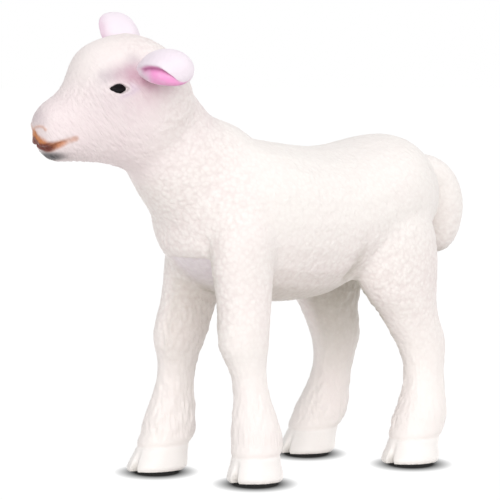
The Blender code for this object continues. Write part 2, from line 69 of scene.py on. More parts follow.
# Head
HEAD_LENGTH = 0.0220
HEAD_DEPTH = 0.0170
HEAD_WIDTH = 0.0124
HEAD_TURN = math.radians(22)
HEAD_ROLL = math.radians(4)

# Ears
EAR_LENGTH = 0.0066
EAR_WIDTH = 0.0068
EAR_THICKNESS = 0.0012
EAR_CUP = 0.0021
EAR_DROOP = 0.0010

# Tail
TAIL_LENGTH = 0.0150
TAIL_WIDTH = 0.0072
TAIL_THICKNESS = 0.0064

# Hooves
CLEFT_WIDTH = 0.0009
CLEFT_HEIGHT = 0.0034
CLEFT_LENGTH = 0.0040
DEWCLAW_SIZE = 0.0008

# How far a leg's patch of skin reaches past its own form, and the body's web between two legs
SEAM_MARGIN = 0.0012
BODY_WEB = 0.0036

# Fineness of the forms
RING_SIDES = 20
RINGS_PER_SPAN = 2

# Along the body from -0.5 ahead, half width, top above the back and bottom below the back
TORSO_SHARES = [
    (-0.422, 0.15, -0.28, 0.50), (-0.405, 0.46, -0.15, 0.63), (-0.370, 0.66, -0.05, 0.73),
    (-0.300, 0.85, 0.03, 0.85), (-0.200, 0.95, 0.07, 0.92), (-0.066, 1.00, 0.03, 0.97),
    (0.088, 1.00, -0.01, 0.95), (0.220, 0.95, 0.01, 0.83), (0.330, 0.88, 0.05, 0.74),
    (0.418, 0.76, 0.04, 0.69), (0.484, 0.57, -0.06, 0.62), (0.523, 0.34, -0.23, 0.51),
    (0.536, 0.12, -0.35, 0.45),
]

# Height up the leg, behind the hoof, outward from the midline, half width and half length
FORELEG_SHARES = [
    (-0.04, -0.02, 1.02, 0.57, 0.56), (0.04, 0.01, 1.00, 0.56, 0.55), (0.10, 0.05, 0.985, 0.53, 0.53),
    (0.15, 0.08, 0.97, 0.50, 0.50), (0.20, 0.09, 0.96, 0.47, 0.48), (0.28, 0.06, 0.93, 0.39, 0.41),
    (0.36, 0.03, 0.90, 0.34, 0.34), (0.44, -0.01, 0.87, 0.36, 0.37), (0.52, -0.07, 0.84, 0.46, 0.50),
    (0.60, -0.05, 0.83, 0.49, 0.51), (0.68, 0.00, 0.80, 0.50, 0.54), (0.76, 0.01, 0.78, 0.52, 0.58),
    (0.84, 0.02, 0.76, 0.55, 0.64), (0.94, 0.06, 0.73, 0.60, 0.68), (1.01, 0.10, 0.70, 0.54, 0.60),
    (1.06, 0.12, 0.67, 0.38, 0.42), (1.08, 0.12, 0.65, 0.16, 0.18),
]
HIND_LEG_SHARES = [
    (-0.04, -0.04, 1.01, 0.57, 0.54), (0.02, 0.00, 1.00, 0.58, 0.53), (0.08, 0.08, 0.99, 0.55, 0.52),
    (0.145, 0.20, 0.98, 0.52, 0.53), (0.21, 0.31, 0.97, 0.47, 0.49), (0.275, 0.38, 0.95, 0.41, 0.42),
    (0.34, 0.42, 0.93, 0.37, 0.38), (0.40, 0.44, 0.91, 0.39, 0.40), (0.47, 0.41, 0.88, 0.44, 0.48),
    (0.53, 0.30, 0.86, 0.47, 0.53), (0.60, 0.15, 0.84, 0.51, 0.57), (0.665, 0.02, 0.81, 0.57, 0.69),
    (0.74, -0.06, 0.78, 0.62, 0.83), (0.84, -0.12, 0.74, 0.66, 0.94), (0.94, -0.17, 0.68, 0.66, 1.00),
    (1.02, -0.19, 0.62, 0.56, 0.86), (1.07, -0.20, 0.58, 0.38, 0.58), (1.09, -0.20, 0.56, 0.16, 0.26),
]
LEG_TOP_SHARE = 0.45
# Each leg's side and end, how far its hoof is set ahead of the stance, how far its top stands behind its hoof, its
# width, its length and its table
LEGS = [
    ("foreleg_left", 1, -1, 0.0002, -0.0002, 0.0060, 0.0068, FORELEG_SHARES),
    ("foreleg_right", -1, -1, 0.0006, 0.0061, 0.0060, 0.0077, FORELEG_SHARES),
    ("hind_leg_left", 1, 1, 0.0000, 0.0000, 0.0062, 0.0075, HIND_LEG_SHARES),
    ("hind_leg_right", -1, 1, 0.0015, 0.0028, 0.0062, 0.0075, HIND_LEG_SHARES),
]
# The row of the pastern in both tables, and how far the dewclaws are behind it and to each side
PASTERN_ROW = 3
DEWCLAW_SHARES = (0.45, 0.18)
DEWCLAW_STRETCH_SHARE = 1.4

# Along the neck, towards the nape, half depth and half width
NECK_SHARES = [
    (0.00, -0.07, 0.40, 0.54), (0.14, -0.07, 0.45, 0.55), (0.27, -0.05, 0.50, 0.53),
    (0.40, -0.06, 0.47, 0.49), (0.52, -0.09, 0.41, 0.44), (0.63, -0.07, 0.39, 0.40),
    (0.73, -0.04, 0.38, 0.37), (0.85, -0.01, 0.34, 0.34),
]
NECK_ROOT_SHARES = (-0.176, 0.40)
NECK_SEAM_SHARE = 0.42

# Top forward and up, bottom forward and up, and half width, from the middle of the skull
HEAD_SHARES = [
    (0.548, -0.25, 0.535, -0.41, 0.22), (0.515, -0.19, 0.480, -0.48, 0.42),
    (0.441, -0.12, 0.391, -0.56, 0.53), (0.377, -0.06, 0.268, -0.57, 0.60), (0.336, 0.03, 0.141, -0.58, 0.71),
    (0.309, 0.14, 0.036, -0.61, 0.84), (0.255, 0.24, -0.064, -0.66, 0.94), (0.141, 0.31, -0.200, -0.64, 1.00),
    (-0.008, 0.345, -0.310, -0.52, 1.00), (-0.140, 0.30, -0.370, -0.34, 0.88),
    (-0.235, 0.22, -0.380, -0.18, 0.65), (-0.295, 0.12, -0.360, -0.04, 0.32),
]
EYE_SHARES = (0.137, 0.86, -0.02)
EYE_SWEEP = math.radians(14)

# Each ear's side, where its root sits on the head, forward, outward and up, and its opening, sweep and lift in
# degrees. The left one is folded and hangs a little, and the right one is pricked up
EARS = [
    ("ear_left", 1, (-0.05, 0.78, 0.065), (24, 20, 4)),
    ("ear_right", -1, (-0.05, 0.78, 0.14), (36, 16, 58)),
]
# The right ear: along it, half width, cup, droop and thickness
EAR_SHARES = [
    (-0.12, 0.42, 0.2, 0.00, 2.0), (0.08, 0.56, 0.4, 0.00, 1.7), (0.22, 0.78, 0.8, 0.02, 1.2),
    (0.40, 0.95, 1.0, 0.10, 1.0), (0.58, 1.00, 0.9, 0.22, 0.9), (0.76, 0.89, 0.7, 0.36, 0.8),
    (0.90, 0.62, 0.4, 0.46, 0.7), (0.98, 0.30, 0.1, 0.50, 0.5),
]
EAR_SIDES = 8
# The left ear's full form: along the ear, then in millimetres its middle above the root, half depth and half
# height, and the fold's share of its depth
FOLDED_EAR = [
    (-0.10, 0.60, 1.50, 1.20, 0.0), (0.08, 0.88, 2.00, 1.50, 0.3), (0.22, 1.04, 2.55, 1.84, 0.8),
    (0.40, 1.05, 2.90, 2.15, 1.0), (0.58, 1.00, 3.00, 2.20, 1.0), (0.74, 0.86, 2.75, 2.05, 1.0),
    (0.87, 0.65, 2.18, 1.68, 0.85), (0.955, 0.50, 1.45, 1.14, 0.0), (1.00, 0.44, 0.50, 0.40, 0.0),
]
FOLDED_EAR_SIDES = 64
FOLDED_EAR_SPANS = 6
# Along the ear, the fold's turn round it in degrees
FOLD_TURNS = [
    (0.0, -10), (0.20, -10.5), (0.30, -6.5), (0.40, -2.5), (0.50, -0.5), (0.60, 0.5), (0.70, 0.5), (0.75, -0.5),
    (0.80, -3.5), (0.84, -8.5), (0.87, -12.5), (0.90, -20), (0.93, -31), (0.95, -62), (0.965, -92), (1.0, -120),
]
# The fold's depth, and how far the lip under it and the brim over it swell, each in millimetres and with its place
# and width as turns round the ear in radians. The fold is steep above and slack below
FOLD_DEPTH = 0.62
FOLD_WIDTHS = (0.10, 0.26)
EAR_LIP = (0.16, -0.75, 0.30)
EAR_BRIM = (0.14, 0.26, 0.18)

# Where the tail's root is along the body
TAIL_ROOT_SHARE = 0.45
# Behind the tail's root along its thickness, below the back, half width and half thickness
TAIL_SHARES = [
    (-0.15, 0.30, 0.42, 0.46), (0.28, 0.28, 0.64, 0.68), (0.70, 0.30, 0.84, 0.86), (1.00, 0.39, 0.95, 0.98),
    (1.14, 0.53, 1.00, 1.00), (1.16, 0.68, 0.94, 0.94), (1.10, 0.84, 0.76, 0.76), (1.03, 0.93, 0.50, 0.50),
    (1.00, 0.97, 0.20, 0.20),
]

# Fineness of the visible skin
FORM_GRAIN = 0.00042
FORM_EASING = 18
EASING_FACTOR = 0.5
LEFT_EAR_ROUNDING = 1
RIGHT_EAR_ROUNDING = 3
# Heights under the first count as the ground's, and no length that divides is less than the second
ON_GROUND = 1e-7
TINY = 1e-20
MM = 0.001

# From here to the split between the claws, lengths are in millimetres. Line inside the skull and muzzle, left, forward
# and up from the middle of the skull
SKULL_LINE = [(0, -2, 0), (0, 9, -5)]

# Wool: how it is bent out of line, and its curls and crimps
BEND_SIZE = 0.6
BEND_DEPTH = 0.14
CURL_SIZE = 0.78
CURL_DEPTH = 0.0306
CRIMP_SIZE = 0.46
CRIMP_DEPTH = 0.060
# The crests' level, and what curls and crimps add to it. Below the crests the wool is darkened as painted shade
CREST_SHARES = (0.5, 0.7, 1.1)
# Shares of the wool's fullness, each over a span of the legs' height
LEG_WOOL = ((0.30, 0.20, 0.45), (0.70, 0.42, 0.72))
# By what share it is flatter on the upper body and on the outer sides of the shoulders
UPPER_FLATTENING = 0.28
SHOULDER_FLATTENING = 0.30

# Hair: its grain, how it falls along the cheek, and its fullness on each part
HAIR_WIDTH = 0.31
HAIR_LENGTH = 1.20
HAIR_DEPTH = 0.06
HAIR_FALL = (0.62, 0.78)
LEG_HAIR_FINENESS = 0.8
EAR_HAIR_DEPTH = 0.03
FACE_HAIR = 0.7
CHEEK_HAIR = 1.6
SHIN_HAIR = 1.4
THIGH_HAIR = 1.1
INNER_HAIR = 1.5

# Hooves: the coronet's height, the wall's flare, how far the wall is set back and over what share of its height, the
# sole's rounded edge as a depth and a reach, the edge of the paint, and where the hair starts
CORONET_HEIGHT = 3.1
HOOF_FLARE = 0.34
WALL_DEPTH = 0.06
WALL_SHARE = 0.8
SOLE_ROUND = (0.30, 0.5)
HOOF_EDGE = (-0.08, 0.10)
HAIR_START_SHARE = 1.6

# Fold in front of each thigh, from the midline, along the body and up
FLANK = [
    (7.0, 4.2, 23.8), (7.7, 4.2, 24.8), (8.3, 4.1, 25.6), (8.9, 4.2, 26.6),
    (9.5, 4.2, 28.0), (9.8, 4.3, 29.4), (10.0, 4.5, 31.0),
]
# Its depth and width, and how much deeper its lower end is
FLANK_MARK = (0.22, 1.20)
FLANK_LOW_DEPTH = 0.35
# Lower edge of the breast between the forelegs, and the hollow under it
BRISKET_HEIGHT = 27.1
HOLLOW_DEPTH = 0.75

# Tan painted shade: the forelegs' share of it, then its shares on the legs' inner sides, in the flanks' creases,
# under the belly and between the claws
FORELEG_TAN_SHADE = 0.5
TAN_SHADE_SHARES = (0.9, 0.5, 0.55, 0.8)

# Left half of the face, left, forward and up from the middle of the skull. A groove is a depth and a width, and a
# spot is a place and its three half sizes
MOUTH = [
    (0.00, 11.45, -7.30), (0.74, 11.00, -7.76), (1.27, 10.68, -7.85), (1.77, 10.36, -7.82),
    (2.25, 10.03, -7.64), (2.70, 9.57, -7.32), (2.99, 8.92, -7.02), (3.20, 8.20, -6.70), (3.40, 7.50, -6.46),
]
MOUTH_GROOVES = ((0.30, 0.20), (0.10, 0.5))
LOWER_LIP_LESS = 0.4
LIP_BULGE = 0.36
LIP_BULGE_SPOT = ((0.50, 10.90, -7.42), (1.6, 0.9, 0.55))
LIP_DARK_RAISED = (0, 0.05, 0.17)
MUZZLE_TRIM = 0.32
LIP_BAND = [
    (0.00, 11.75, -6.62), (0.60, 11.35, -6.98), (1.20, 10.90, -7.24), (1.75, 10.35, -7.38),
    (2.20, 9.90, -7.34), (2.55, 9.40, -7.18), (2.74, 8.95, -6.98), (2.92, 8.30, -6.68), (3.10, 7.88, -6.58),
    (3.32, 7.45, -6.46),
]
# Along the lip band, its half width
LIP_BAND_WIDTHS = ((0, 0.35, 0.55, 1), (1.05, 0.92, 0.66, 0.45))
LIP_BAND_END_LESS = 0.5
NOSTRIL = [
    (0.35, 11.75, -5.55), (0.90, 11.70, -5.28), (1.43, 11.55, -5.16), (2.00, 11.20, -5.20),
    (2.32, 10.95, -5.50),
]
NOSTRIL_SLIT = [(0.62, 11.60, -5.93), (1.10, 11.35, -5.88), (1.60, 11.10, -5.84)]
NOSE_FRONT_PAINT = 0.38
NOSE_FRONT_SPOT = ((0.0, 11.6, -6.2), (1.1, 1.2, 0.8))
# Strength of the painted grey shade on the nose's front
NOSE_FRONT_SHADE = 0.48
CHIN = (0.10, 9.60, -8.85)
CHIN_BULGE = 0.40
CHIN_BULGE_SPOT = (CHIN, (2.4, 1.6, 1.1))
# Dark painted shade: a haze over the chin, and a darker spot under the lower lip
CHIN_SHADE_HAZE = 0.25
CHIN_SHADE_HAZE_SPOT = (CHIN, (3.4, 3.0, 0.9))
CHIN_SHADE_SPOT = ((1.10, 10.05, -8.64), (1.9, 2.2, 0.58))

# Eyes: their middle and half sizes, then marks in shares of their almond, whose edge is at 1
EYE_PLACE = (5.40, 2.74, -0.39)
EYE_HALF = (1.08, 0.56)
EYE_CORNER_POWER = 1.35
EYE_LEAST_LEFT = 3
FAR_FROM_EYE = 9.0
EYE_PIT_DEPTH = 0.42
# How fast the painted shade on the lids grows behind and below the eye
LID_BEHIND_DROP = 0.8
# Painted grey shade round the eye's socket: its spot and strength
SOCKET_SPOT = ((5.2, 3.0, -0.8), (3.0, 3.0, 3.0))
SOCKET_SHADE = 0.26
# The beads: radii, how pointed their corners are, and how far they are sunk from the eye's middle, left and forward
BEAD_RADII = (0.62, 1.34, 0.76)
BEAD_CORNER_POWER = 1.30
BEAD_SUNK = (0.46, 0.06)
BEAD_SIDES = (48, 32)
# Line of painted grey shade over the brow, and its strength
BROW = [(4.42, 4.31, 1.00), (4.74, 3.17, 1.30), (4.95, 1.97, 1.60), (4.95, 1.20, 2.20), (4.75, 0.75, 3.00)]
BROW_SHADE = 0.60
PINK_BROW = [
    (5.00, 2.20, 1.15), (5.10, 1.60, 1.30), (5.25, 0.90, 1.25), (5.40, 0.30, 1.00), (5.65, -0.40, 0.60),
    (5.90, -1.80, 0.10), (6.00, -3.20, 0.00),
]
PINK_END_LESS = 0.7
BLUSH = 0.22
BLUSH_SPOT = ((6.0, -0.6, -1.2), (2.4, 2.4, 2.4))

# Finest mesh: round each eye, over the mouth, and in metres round each toe's tip
FINE_FACE_SIDE = 9
FINE_FACE_BACK = -1
FINE_EYE_REACH_SQUARED = 4.5
FINE_MOUTH_AHEAD = 6.6
FINE_MOUTH_HEIGHTS = (-8.8, -4.2)
FINE_TOE = (0.0011, 0.0022, 0.0042)
# The split between a hoof's claws: its half width at the sole and how that narrows, how deep it is cut at the sole
# and over the whole height, and how far it runs behind the toe's tip
CLEFT_HALF_WIDTHS = (0.75, 0.30)
CLEFT_CUTS = (0.30, 0.07)
CLEFT_BEHIND = 0.5
CLEFT_SIDE_POWER = 1.5

# The left ear's paint, in shares of its length and turns from its fold in radians: the foot of its pocket along the
# ear, then the pocket's paler root, the fold's dark line of painted shade and the foot's dark line, each a share where
# it has one, a turn and a width, and how much less smear the pocket has
POCKET_FOOT = ((0.3, 0.8), (-0.85, -1.40))
PALE_ROOT = (0.8, -0.55, 0.42)
FOLD_SHADE_LINE = (-0.01, 0.13)
FOOT_RIM = (0.5, -1.22, 0.17)
EAR_SMEAR_LESS = 0.6
# How far the right ear's rear edge slopes in toward its tip, in metres
EAR_TIP_SLOPE = 0.00055

# Materials: the size of the wool's grains in metres, the ranges that noise is spread from, and the finishes
STIPPLE_SIZE = 0.00056
NOISE_MIDDLE = (0.3, 0.7)
NOISE_WIDE = (0.25, 0.75)
SPECKLE_ROUGHNESS = 0.6
HOOF_SMOOTHER = 0.10
VINYL_SPECULAR = 0.42
EYE_SPECULAR = 0.08
FLOOR_ROUGHNESS = 0.9
LEG_STREAK_SHARE = 2.6
FACE_STREAK_SHARE = 2.6
# Which way the cheek's hair lies in the head's frame: left, back and up
HAIR_LAY = (0.10, 0.62, -0.78)
# The floor's disc
FLOOR_SIDES = 96
FLOOR_RADIUS = 1.6

# Colours
VINYL = (0.952, 0.905, 0.872)
VINYL_SHADE = (0.940, 0.868, 0.846)
# Painted shade in the pits between the wool's grains
WOOL_PIT_SHADE = (0.72, 0.60, 0.585)
# Each paint's mask, strength and colour. Tan, lilac, grey, lid and chin are painted shade, face is pink paint with
# painted shade low on the cheeks, and upper is a painted highlight
SPRAYS_AND_PAINTED_LIGHT = [
    ("upper", 0.45, (0.948, 0.922, 0.884)),
    ("tan_painted_shade", 0.78, (0.385, 0.355, 0.275)),
    ("lilac_painted_shade", 0.40, (0.92, 0.83, 0.95)),
    ("hoof", 0.50, (0.935, 0.915, 0.895)),
    ("face", 0.90, (0.868, 0.752, 0.762)),
    ("painted_shade_grey", 0.85, (0.50, 0.42, 0.46)),
    ("pink", 0.90, (0.58, 0.35, 0.43)),
    ("lid_painted_shade", 0.65, (0.70, 0.58, 0.68)),
    ("chin_painted_shade", 1.08, (0.032, 0.026, 0.030)),
    ("orange", 1.05, (0.56, 0.205, 0.070)),
    ("slit", 0.80, (0.36, 0.18, 0.15)),
    ("lip", 1.12, (0.130, 0.018, 0.007)),
]
EAR_VINYL = (0.925, 0.835, 0.905)
EAR_SHADE = (0.895, 0.80, 0.875)
EAR_SPRAYS_AND_PAINTED_SHADE = [
    ("smear", 0.75, (0.74, 0.47, 0.56)),
    ("hollow", 1.0, (0.95, 0.37, 0.70)),
    # Dark rims, and on the left ear painted shade along the fold
    ("rim_and_fold_shade", 1.0, (0.52, 0.17, 0.35)),
]
EYE_BLACK = (0.006, 0.005, 0.006)
EYE_BLACK_PALER = (0.012, 0.010, 0.012)
# The floor's own colours and the dark one the camera sees, and its glow, which fades in round each hoof so that
# the dark colour shows there as a painted shadow
FLOOR = (0.80, 0.79, 0.78)
FLOOR_SHADE = (0.77, 0.76, 0.75)
FLOOR_SEEN_IN_PAINTED_SHADOW = (0.03, 0.03, 0.03)
FLOOR_GLOW = 1.0
PAINTED_SHADOW_FADE = (0.80, 1.55)
# The painted shadows: their shift and reach along the camera's view, and their half width across it
PAINTED_SHADOW_SHIFT = 0.0025
PAINTED_SHADOW_REACH = 0.0055
PAINTED_SHADOW_HALF_WIDTH = 0.0034
WORLD_LIGHT = 0.535

# Azimuth and elevation in degrees, level and angular size
KEY_LAMP = (47, 23, 0.535, 60)
TOP_LAMP = (147, 46, 0.165, 40)
LAMP_DISTANCE = 0.5

# View
CAMERA_AZIMUTH = 45
CAMERA_ELEVATION = 4
CAMERA_DISTANCE = 0.50
PIXELS_PER_METRE = 8000
PICTURE_PIXELS = 500
SENSOR_WIDTH = 36
CAMERA_CLIP_START = 0.01
# How far the picture's middle is left of the lamb's and above its soles
CAMERA_ASIDE = 36 / PIXELS_PER_METRE
CAMERA_RAISED = 215 / PIXELS_PER_METRE


def add_object(name, mesh):
    """An object for a mesh, linked into the scene."""
    made = bpy.data.objects.new(name, mesh)
    bpy.context.scene.collection.objects.link(made)
    return made


def between(a, b, c, d, share):
    """The Catmull-Rom curve from b to c, at a share of the way."""
    return tuple(
        0.5 * (2 * q + (r - p) * share + (2 * p - 5 * q + 4 * r - s) * share**2
               + (3 * q - p - 3 * r + s) * share**3)
        for p, q, r, s in zip(a, b, c, d)
    )


def finer(rows, per_span):
    """The same run of rows with per_span steps from each row to the next."""
    ends = [rows[0], *rows, rows[-1]]
    made = []
    for first in range(len(rows) - 1):
        made += [between(*ends[first:first + 4], step / per_span) for step in range(per_span)]
    return [*made, tuple(rows[-1])]


def loft(rings):
    """A closed mesh through rings of points, with a flat face at each end."""
    mesh = bpy.data.meshes.new("form")
    shape = bmesh.new()
    loops = [[shape.verts.new(point) for point in ring] for ring in rings]
    for lower, upper in zip(loops, loops[1:]):
        for side in range(len(lower)):
            after = (side + 1) % len(lower)
            shape.faces.new((lower[side], lower[after], upper[after], upper[side]))
    shape.faces.new(reversed(loops[0]))
    shape.faces.new(loops[-1])
    bmesh.ops.recalc_face_normals(shape, faces=shape.faces)
    shape.to_mesh(mesh)
    shape.free()
    return mesh


def oval(centre, across, along):
    """A ring of points round a centre, with two half axes as vectors."""
    turns = [2 * math.pi * side / RING_SIDES for side in range(RING_SIDES)]
    return [centre + across * math.cos(turn) + along * math.sin(turn) for turn in turns]


def ellipsoid(centre, radii):
    """A closed ellipsoid."""
    mesh = bpy.data.meshes.new("form")
    shape = bmesh.new()
    bmesh.ops.create_icosphere(shape, subdivisions=2, radius=1)
    place = Matrix.Translation(centre) @ Matrix.Diagonal((*radii, 1))
    bmesh.ops.transform(shape, matrix=place, verts=shape.verts)
    shape.to_mesh(mesh)
    shape.free()
    return mesh


def joined(meshes):
    """One mesh that holds several."""
    shape = bmesh.new()
    for mesh in meshes:
        shape.from_mesh(mesh)
    made = bpy.data.meshes.new("form")
    shape.to_mesh(made)
    shape.free()
    return made


def baked(former):
    """The mesh of an object with its modifiers applied."""
    graph = bpy.context.evaluated_depsgraph_get()
    return bpy.data.meshes.new_from_object(former.evaluated_get(graph))


def torso_mesh():
    """The barrel of the body, from the breast to the rump."""
    rings = []
    for along, half_width, top, bottom in finer(TORSO_SHARES, RINGS_PER_SPAN):
        high = BACK_HEIGHT + top * BODY_DEPTH
        low = BACK_HEIGHT - bottom * BODY_DEPTH
        centre = Vector((0, along * BODY_LENGTH, (high + low) / 2))
        across = Vector((half_width * BODY_WIDTH / 2, 0, 0))
        rings.append(oval(centre, across, Vector((0, 0, (high - low) / 2))))
    return loft(rings)


def neck_root():
    """The neck's lower end, inside the shoulders."""
    along, below = NECK_ROOT_SHARES
    return Vector((0, along * BODY_LENGTH, BACK_HEIGHT - below * BODY_DEPTH))


def neck_run():
    """From the neck's root to the middle of the skull."""
    return Vector((-NECK_SIDE, -NECK_REACH, NECK_RISE))


def neck_mesh():
    """The neck, which starts inside the shoulders and ends inside the skull."""
    root, run = neck_root(), neck_run()
    nape = run.cross(Vector((1, 0, 0))).normalized()
    rings = []
    for along, back, half_depth, half_width in finer(NECK_SHARES, RINGS_PER_SPAN):
        centre = root + run * along + nape * back * NECK_DEPTH
        rings.append(oval(centre, Vector((half_width * NECK_WIDTH, 0, 0)), nape * half_depth * NECK_DEPTH))
    return loft(rings)


def head_frame():
    """The skull's middle, with local X to the head's left, -Y forward and Z up."""
    turn = Matrix.Rotation(-HEAD_TURN, 4, "Z") @ Matrix.Rotation(HEAD_ROLL, 4, "Y")
    return Matrix.Translation(neck_root() + neck_run()) @ turn


def on_head(forward, outward, up):
    """A point of the head, from shares of its length, half width and depth."""
    local = Vector((outward * HEAD_WIDTH / 2, -forward * HEAD_LENGTH, up * HEAD_DEPTH))
    return head_frame() @ local


def head_mesh():
    """The skull, cheeks and muzzle."""
    rings = []
    for row in finer(HEAD_SHARES, RINGS_PER_SPAN):
        top = on_head(row[0], 0, row[1])
        bottom = on_head(row[2], 0, row[3])
        across = on_head(0, row[4], 0) - on_head(0, 0, 0)
        rings.append(oval((top + bottom) / 2, across, (top - bottom) / 2))
    return loft(rings)


class Leg:
    """One leg, whose side is +1 for the left and whose end is -1 for the front."""

    def __init__(self, name, side, end, step, lean, width, length, shares):
        self.name, self.side, self.lean = name, side, lean
        self.width, self.length, self.shares = width, length, shares
        self.hoof_y = end * STANCE_LENGTH / 2 - step
        self.height = BACK_HEIGHT - LEG_TOP_SHARE * BODY_DEPTH

    def centre(self, up, back, outward):
        """The leg's middle at a share of its height."""
        x = self.side * outward * STANCE_WIDTH / 2
        y = self.hoof_y + back * self.length + up * self.lean
        return Vector((x, y, up * self.height))

    def foot(self):
        """The middle of the hoof's sole."""
        return self.centre(0, *self.shares[1][1:3])

    def toe(self):
        """The tip of the hoof's sole."""
        _, back, outward, _, half_length = self.shares[1]
        return self.centre(0, back - half_length, outward)

    def sections(self, points):
        """At each point's height, its share of the leg's, the point's x and y from the middle, and the half sizes."""
        ups, *rows = np.array(self.shares).T
        up = points[:, 2] / self.height
        back, outward, half_width, half_length = (np.interp(up, ups, row) for row in rows)
        x = points[:, 0] - self.side * outward * STANCE_WIDTH / 2
        y = points[:, 1] - self.hoof_y - back * self.length - up * self.lean
        return up, x, y, half_width * self.width, half_length * self.length

    def form(self):
        """The leg's own shape with its two dewclaws, before it is blended into the body."""
        rings = []
        for up, back, outward, half_width, half_length in finer(self.shares, RINGS_PER_SPAN):
            across = Vector((half_width * self.width, 0, 0))
            rings.append(oval(self.centre(up, back, outward), across, Vector((0, half_length * self.length, 0))))
        pastern = self.centre(*self.shares[PASTERN_ROW][:3])
        behind = Vector((0, DEWCLAW_SHARES[0] * self.length, 0))
        apart = Vector((DEWCLAW_SHARES[1] * self.width, 0, 0))
        size = (DEWCLAW_SIZE, DEWCLAW_SIZE, DEWCLAW_SIZE * DEWCLAW_STRETCH_SHARE)
        claws = [ellipsoid(pastern + behind + apart * side, size) for side in (-1, 1)]
        return joined([loft(rings), *claws])


class Ear:
    """One ear, from its root on the head along its own direction."""

    def __init__(self, name, side, root_shares, angles):
        self.name = name
        opening, sweep, lift = map(math.radians, angles)
        forward, outward, up = root_shares
        self.root = on_head(forward, side * outward, up)
        turn = head_frame().to_3x3()
        level = turn @ Vector((side * math.cos(sweep), math.sin(sweep), 0))
        self.along = (level * math.cos(lift) + turn @ Vector((0, 0, math.sin(lift)))).normalized()
        ahead = turn @ Vector((side * math.sin(sweep), -math.cos(sweep), 0))
        back = ahead.cross(self.along) * side
        self.opening = opening
        opened = Matrix.Rotation(-side * opening, 3, self.along)
        self.ahead = opened @ ahead
        self.back = opened @ (back if back.z > 0 else -back)

    def rings(self):
        """Cupped sections: the convex back, then the hollow front."""
        made = []
        steps = [math.pi * step / EAR_SIDES for step in range(EAR_SIDES + 1)]
        for reach, half_width, cup, droop, thickness in finer(EAR_SHARES, RINGS_PER_SPAN):
            centre = self.root + self.along * reach * EAR_LENGTH - Vector((0, 0, droop * EAR_DROOP))
            ring = []
            for turns, face in ((steps, 1), (steps[-2:0:-1], -1)):
                for turn in turns:
                    wide = -math.cos(turn) * half_width * EAR_WIDTH / 2
                    bulge = cup * EAR_CUP * math.sin(turn) ** 2
                    skin = face * math.sin(turn) * thickness * EAR_THICKNESS / 2
                    ring.append(centre + self.ahead * wide + self.back * (bulge + skin))
            made.append(ring)
        return made

    def level_axes(self):
        """Forward and up, square to the ear, before it is opened."""
        cosine, sine = math.cos(self.opening), math.sin(self.opening)
        return self.ahead * cosine - self.back * sine, self.ahead * sine + self.back * cosine


def tail_rings():
    """The tail's rings, from its root inside the rump down to its tip."""
    rings = []
    for behind, below, half_width, half_depth in finer(TAIL_SHARES, RINGS_PER_SPAN):
        y = TAIL_ROOT_SHARE * BODY_LENGTH + behind * TAIL_THICKNESS
        centre = Vector((0, y, BACK_HEIGHT - below * TAIL_LENGTH))
        rings.append((centre, half_width * TAIL_WIDTH / 2, half_depth * TAIL_THICKNESS / 2))
    made = []
    for index, (centre, half_width, half_depth) in enumerate(rings):
        before = rings[max(index - 1, 0)][0]
        after = rings[min(index + 1, len(rings) - 1)][0]
        outward = Vector((1, 0, 0)).cross(after - before).normalized()
        made.append(oval(centre, Vector((half_width, 0, 0)), outward * half_depth))
    return made


def neck_seam():
    """The middle of the seam across the neck, and its direction towards the head."""
    run = neck_run()
    return neck_root() + run * NECK_SEAM_SHARE, run.normalized()


def ramp(values, low, high):
    """A smooth step from 0 at low to 1 at high."""
    share = np.clip((values - low) / (high - low), 0, 1)
    return share * share * (3 - 2 * share)


def bell(distance, width):
    """1 at no distance, which falls off over a width."""
    return np.exp(-((distance / width) ** 2))


def mark(distance, height, width):
    """A bell of a height and a width."""
    return height * bell(distance, width)


def at_least(least, share):
    """A share whose 0 is raised to a least value."""
    return least + (1 - least) * share


def grain(points, size, seed):
    """Noise of one size at each point, about -1 to 1."""
    return np.array([noise.noise(place) for place in (points / size + seed).tolist()])


def along_line(points, line):
    """Each point's distance from a line of points, and how far along the line its nearest spot is, 0 to 1."""
    line = np.array(line)
    steps = np.linalg.norm(line[1:] - line[:-1], axis=1)
    ends = np.concatenate([[0], np.cumsum(steps)]) / steps.sum()
    nearest = np.full(len(points), np.inf)
    share = np.zeros(len(points))
    for index, (first, last) in enumerate(zip(line, line[1:])):
        run = last - first
        part = np.clip((points - first) @ run / (run @ run), 0, 1)
        distance = np.linalg.norm(points - first - part[:, None] * run, axis=1)
        closer = distance < nearest
        nearest[closer] = distance[closer]
        share[closer] = (ends[index] + part * (ends[index + 1] - ends[index]))[closer]
    return nearest, share


def box_shift():
    """How far the frame's lamb is moved so that its box stands over the origin."""
    low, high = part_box("eye_left")
    forward, outward, up = EYE_SHARES
    shift = (Vector(low) + Vector(high)) / 2 - on_head(forward, outward, up)
    return Vector((shift.x, shift.y, 0))


def formed(mesh, easing, rounding):
    """A mesh remeshed finely and eased, if any easing is asked for, and rounded off."""
    former = add_object("former", mesh)
    if easing:
        blend = former.modifiers.new("blend", "REMESH")
        blend.mode = "VOXEL"
        blend.voxel_size = FORM_GRAIN
        ease = former.modifiers.new("ease", "SMOOTH")
        ease.factor = EASING_FACTOR
        ease.iterations = easing
    round_off = former.modifiers.new("round", "SUBSURF")
    round_off.levels = rounding
    round_off.render_levels = rounding
    made = baked(former)
    bpy.data.objects.remove(former)
    return made


def arrays(shape):
    """The points and the triangles of a triangulated bmesh."""
    shape.verts.index_update()
    points = np.array([vertex.co[:] for vertex in shape.verts])
    faces = np.array([[corner.index for corner in face.verts] for face in shape.faces])
    return points, faces


def face_crosses(points, faces):
    """Each triangle's normal, as long as twice its area."""
    return np.cross(points[faces[:, 1]] - points[faces[:, 0]], points[faces[:, 2]] - points[faces[:, 0]])


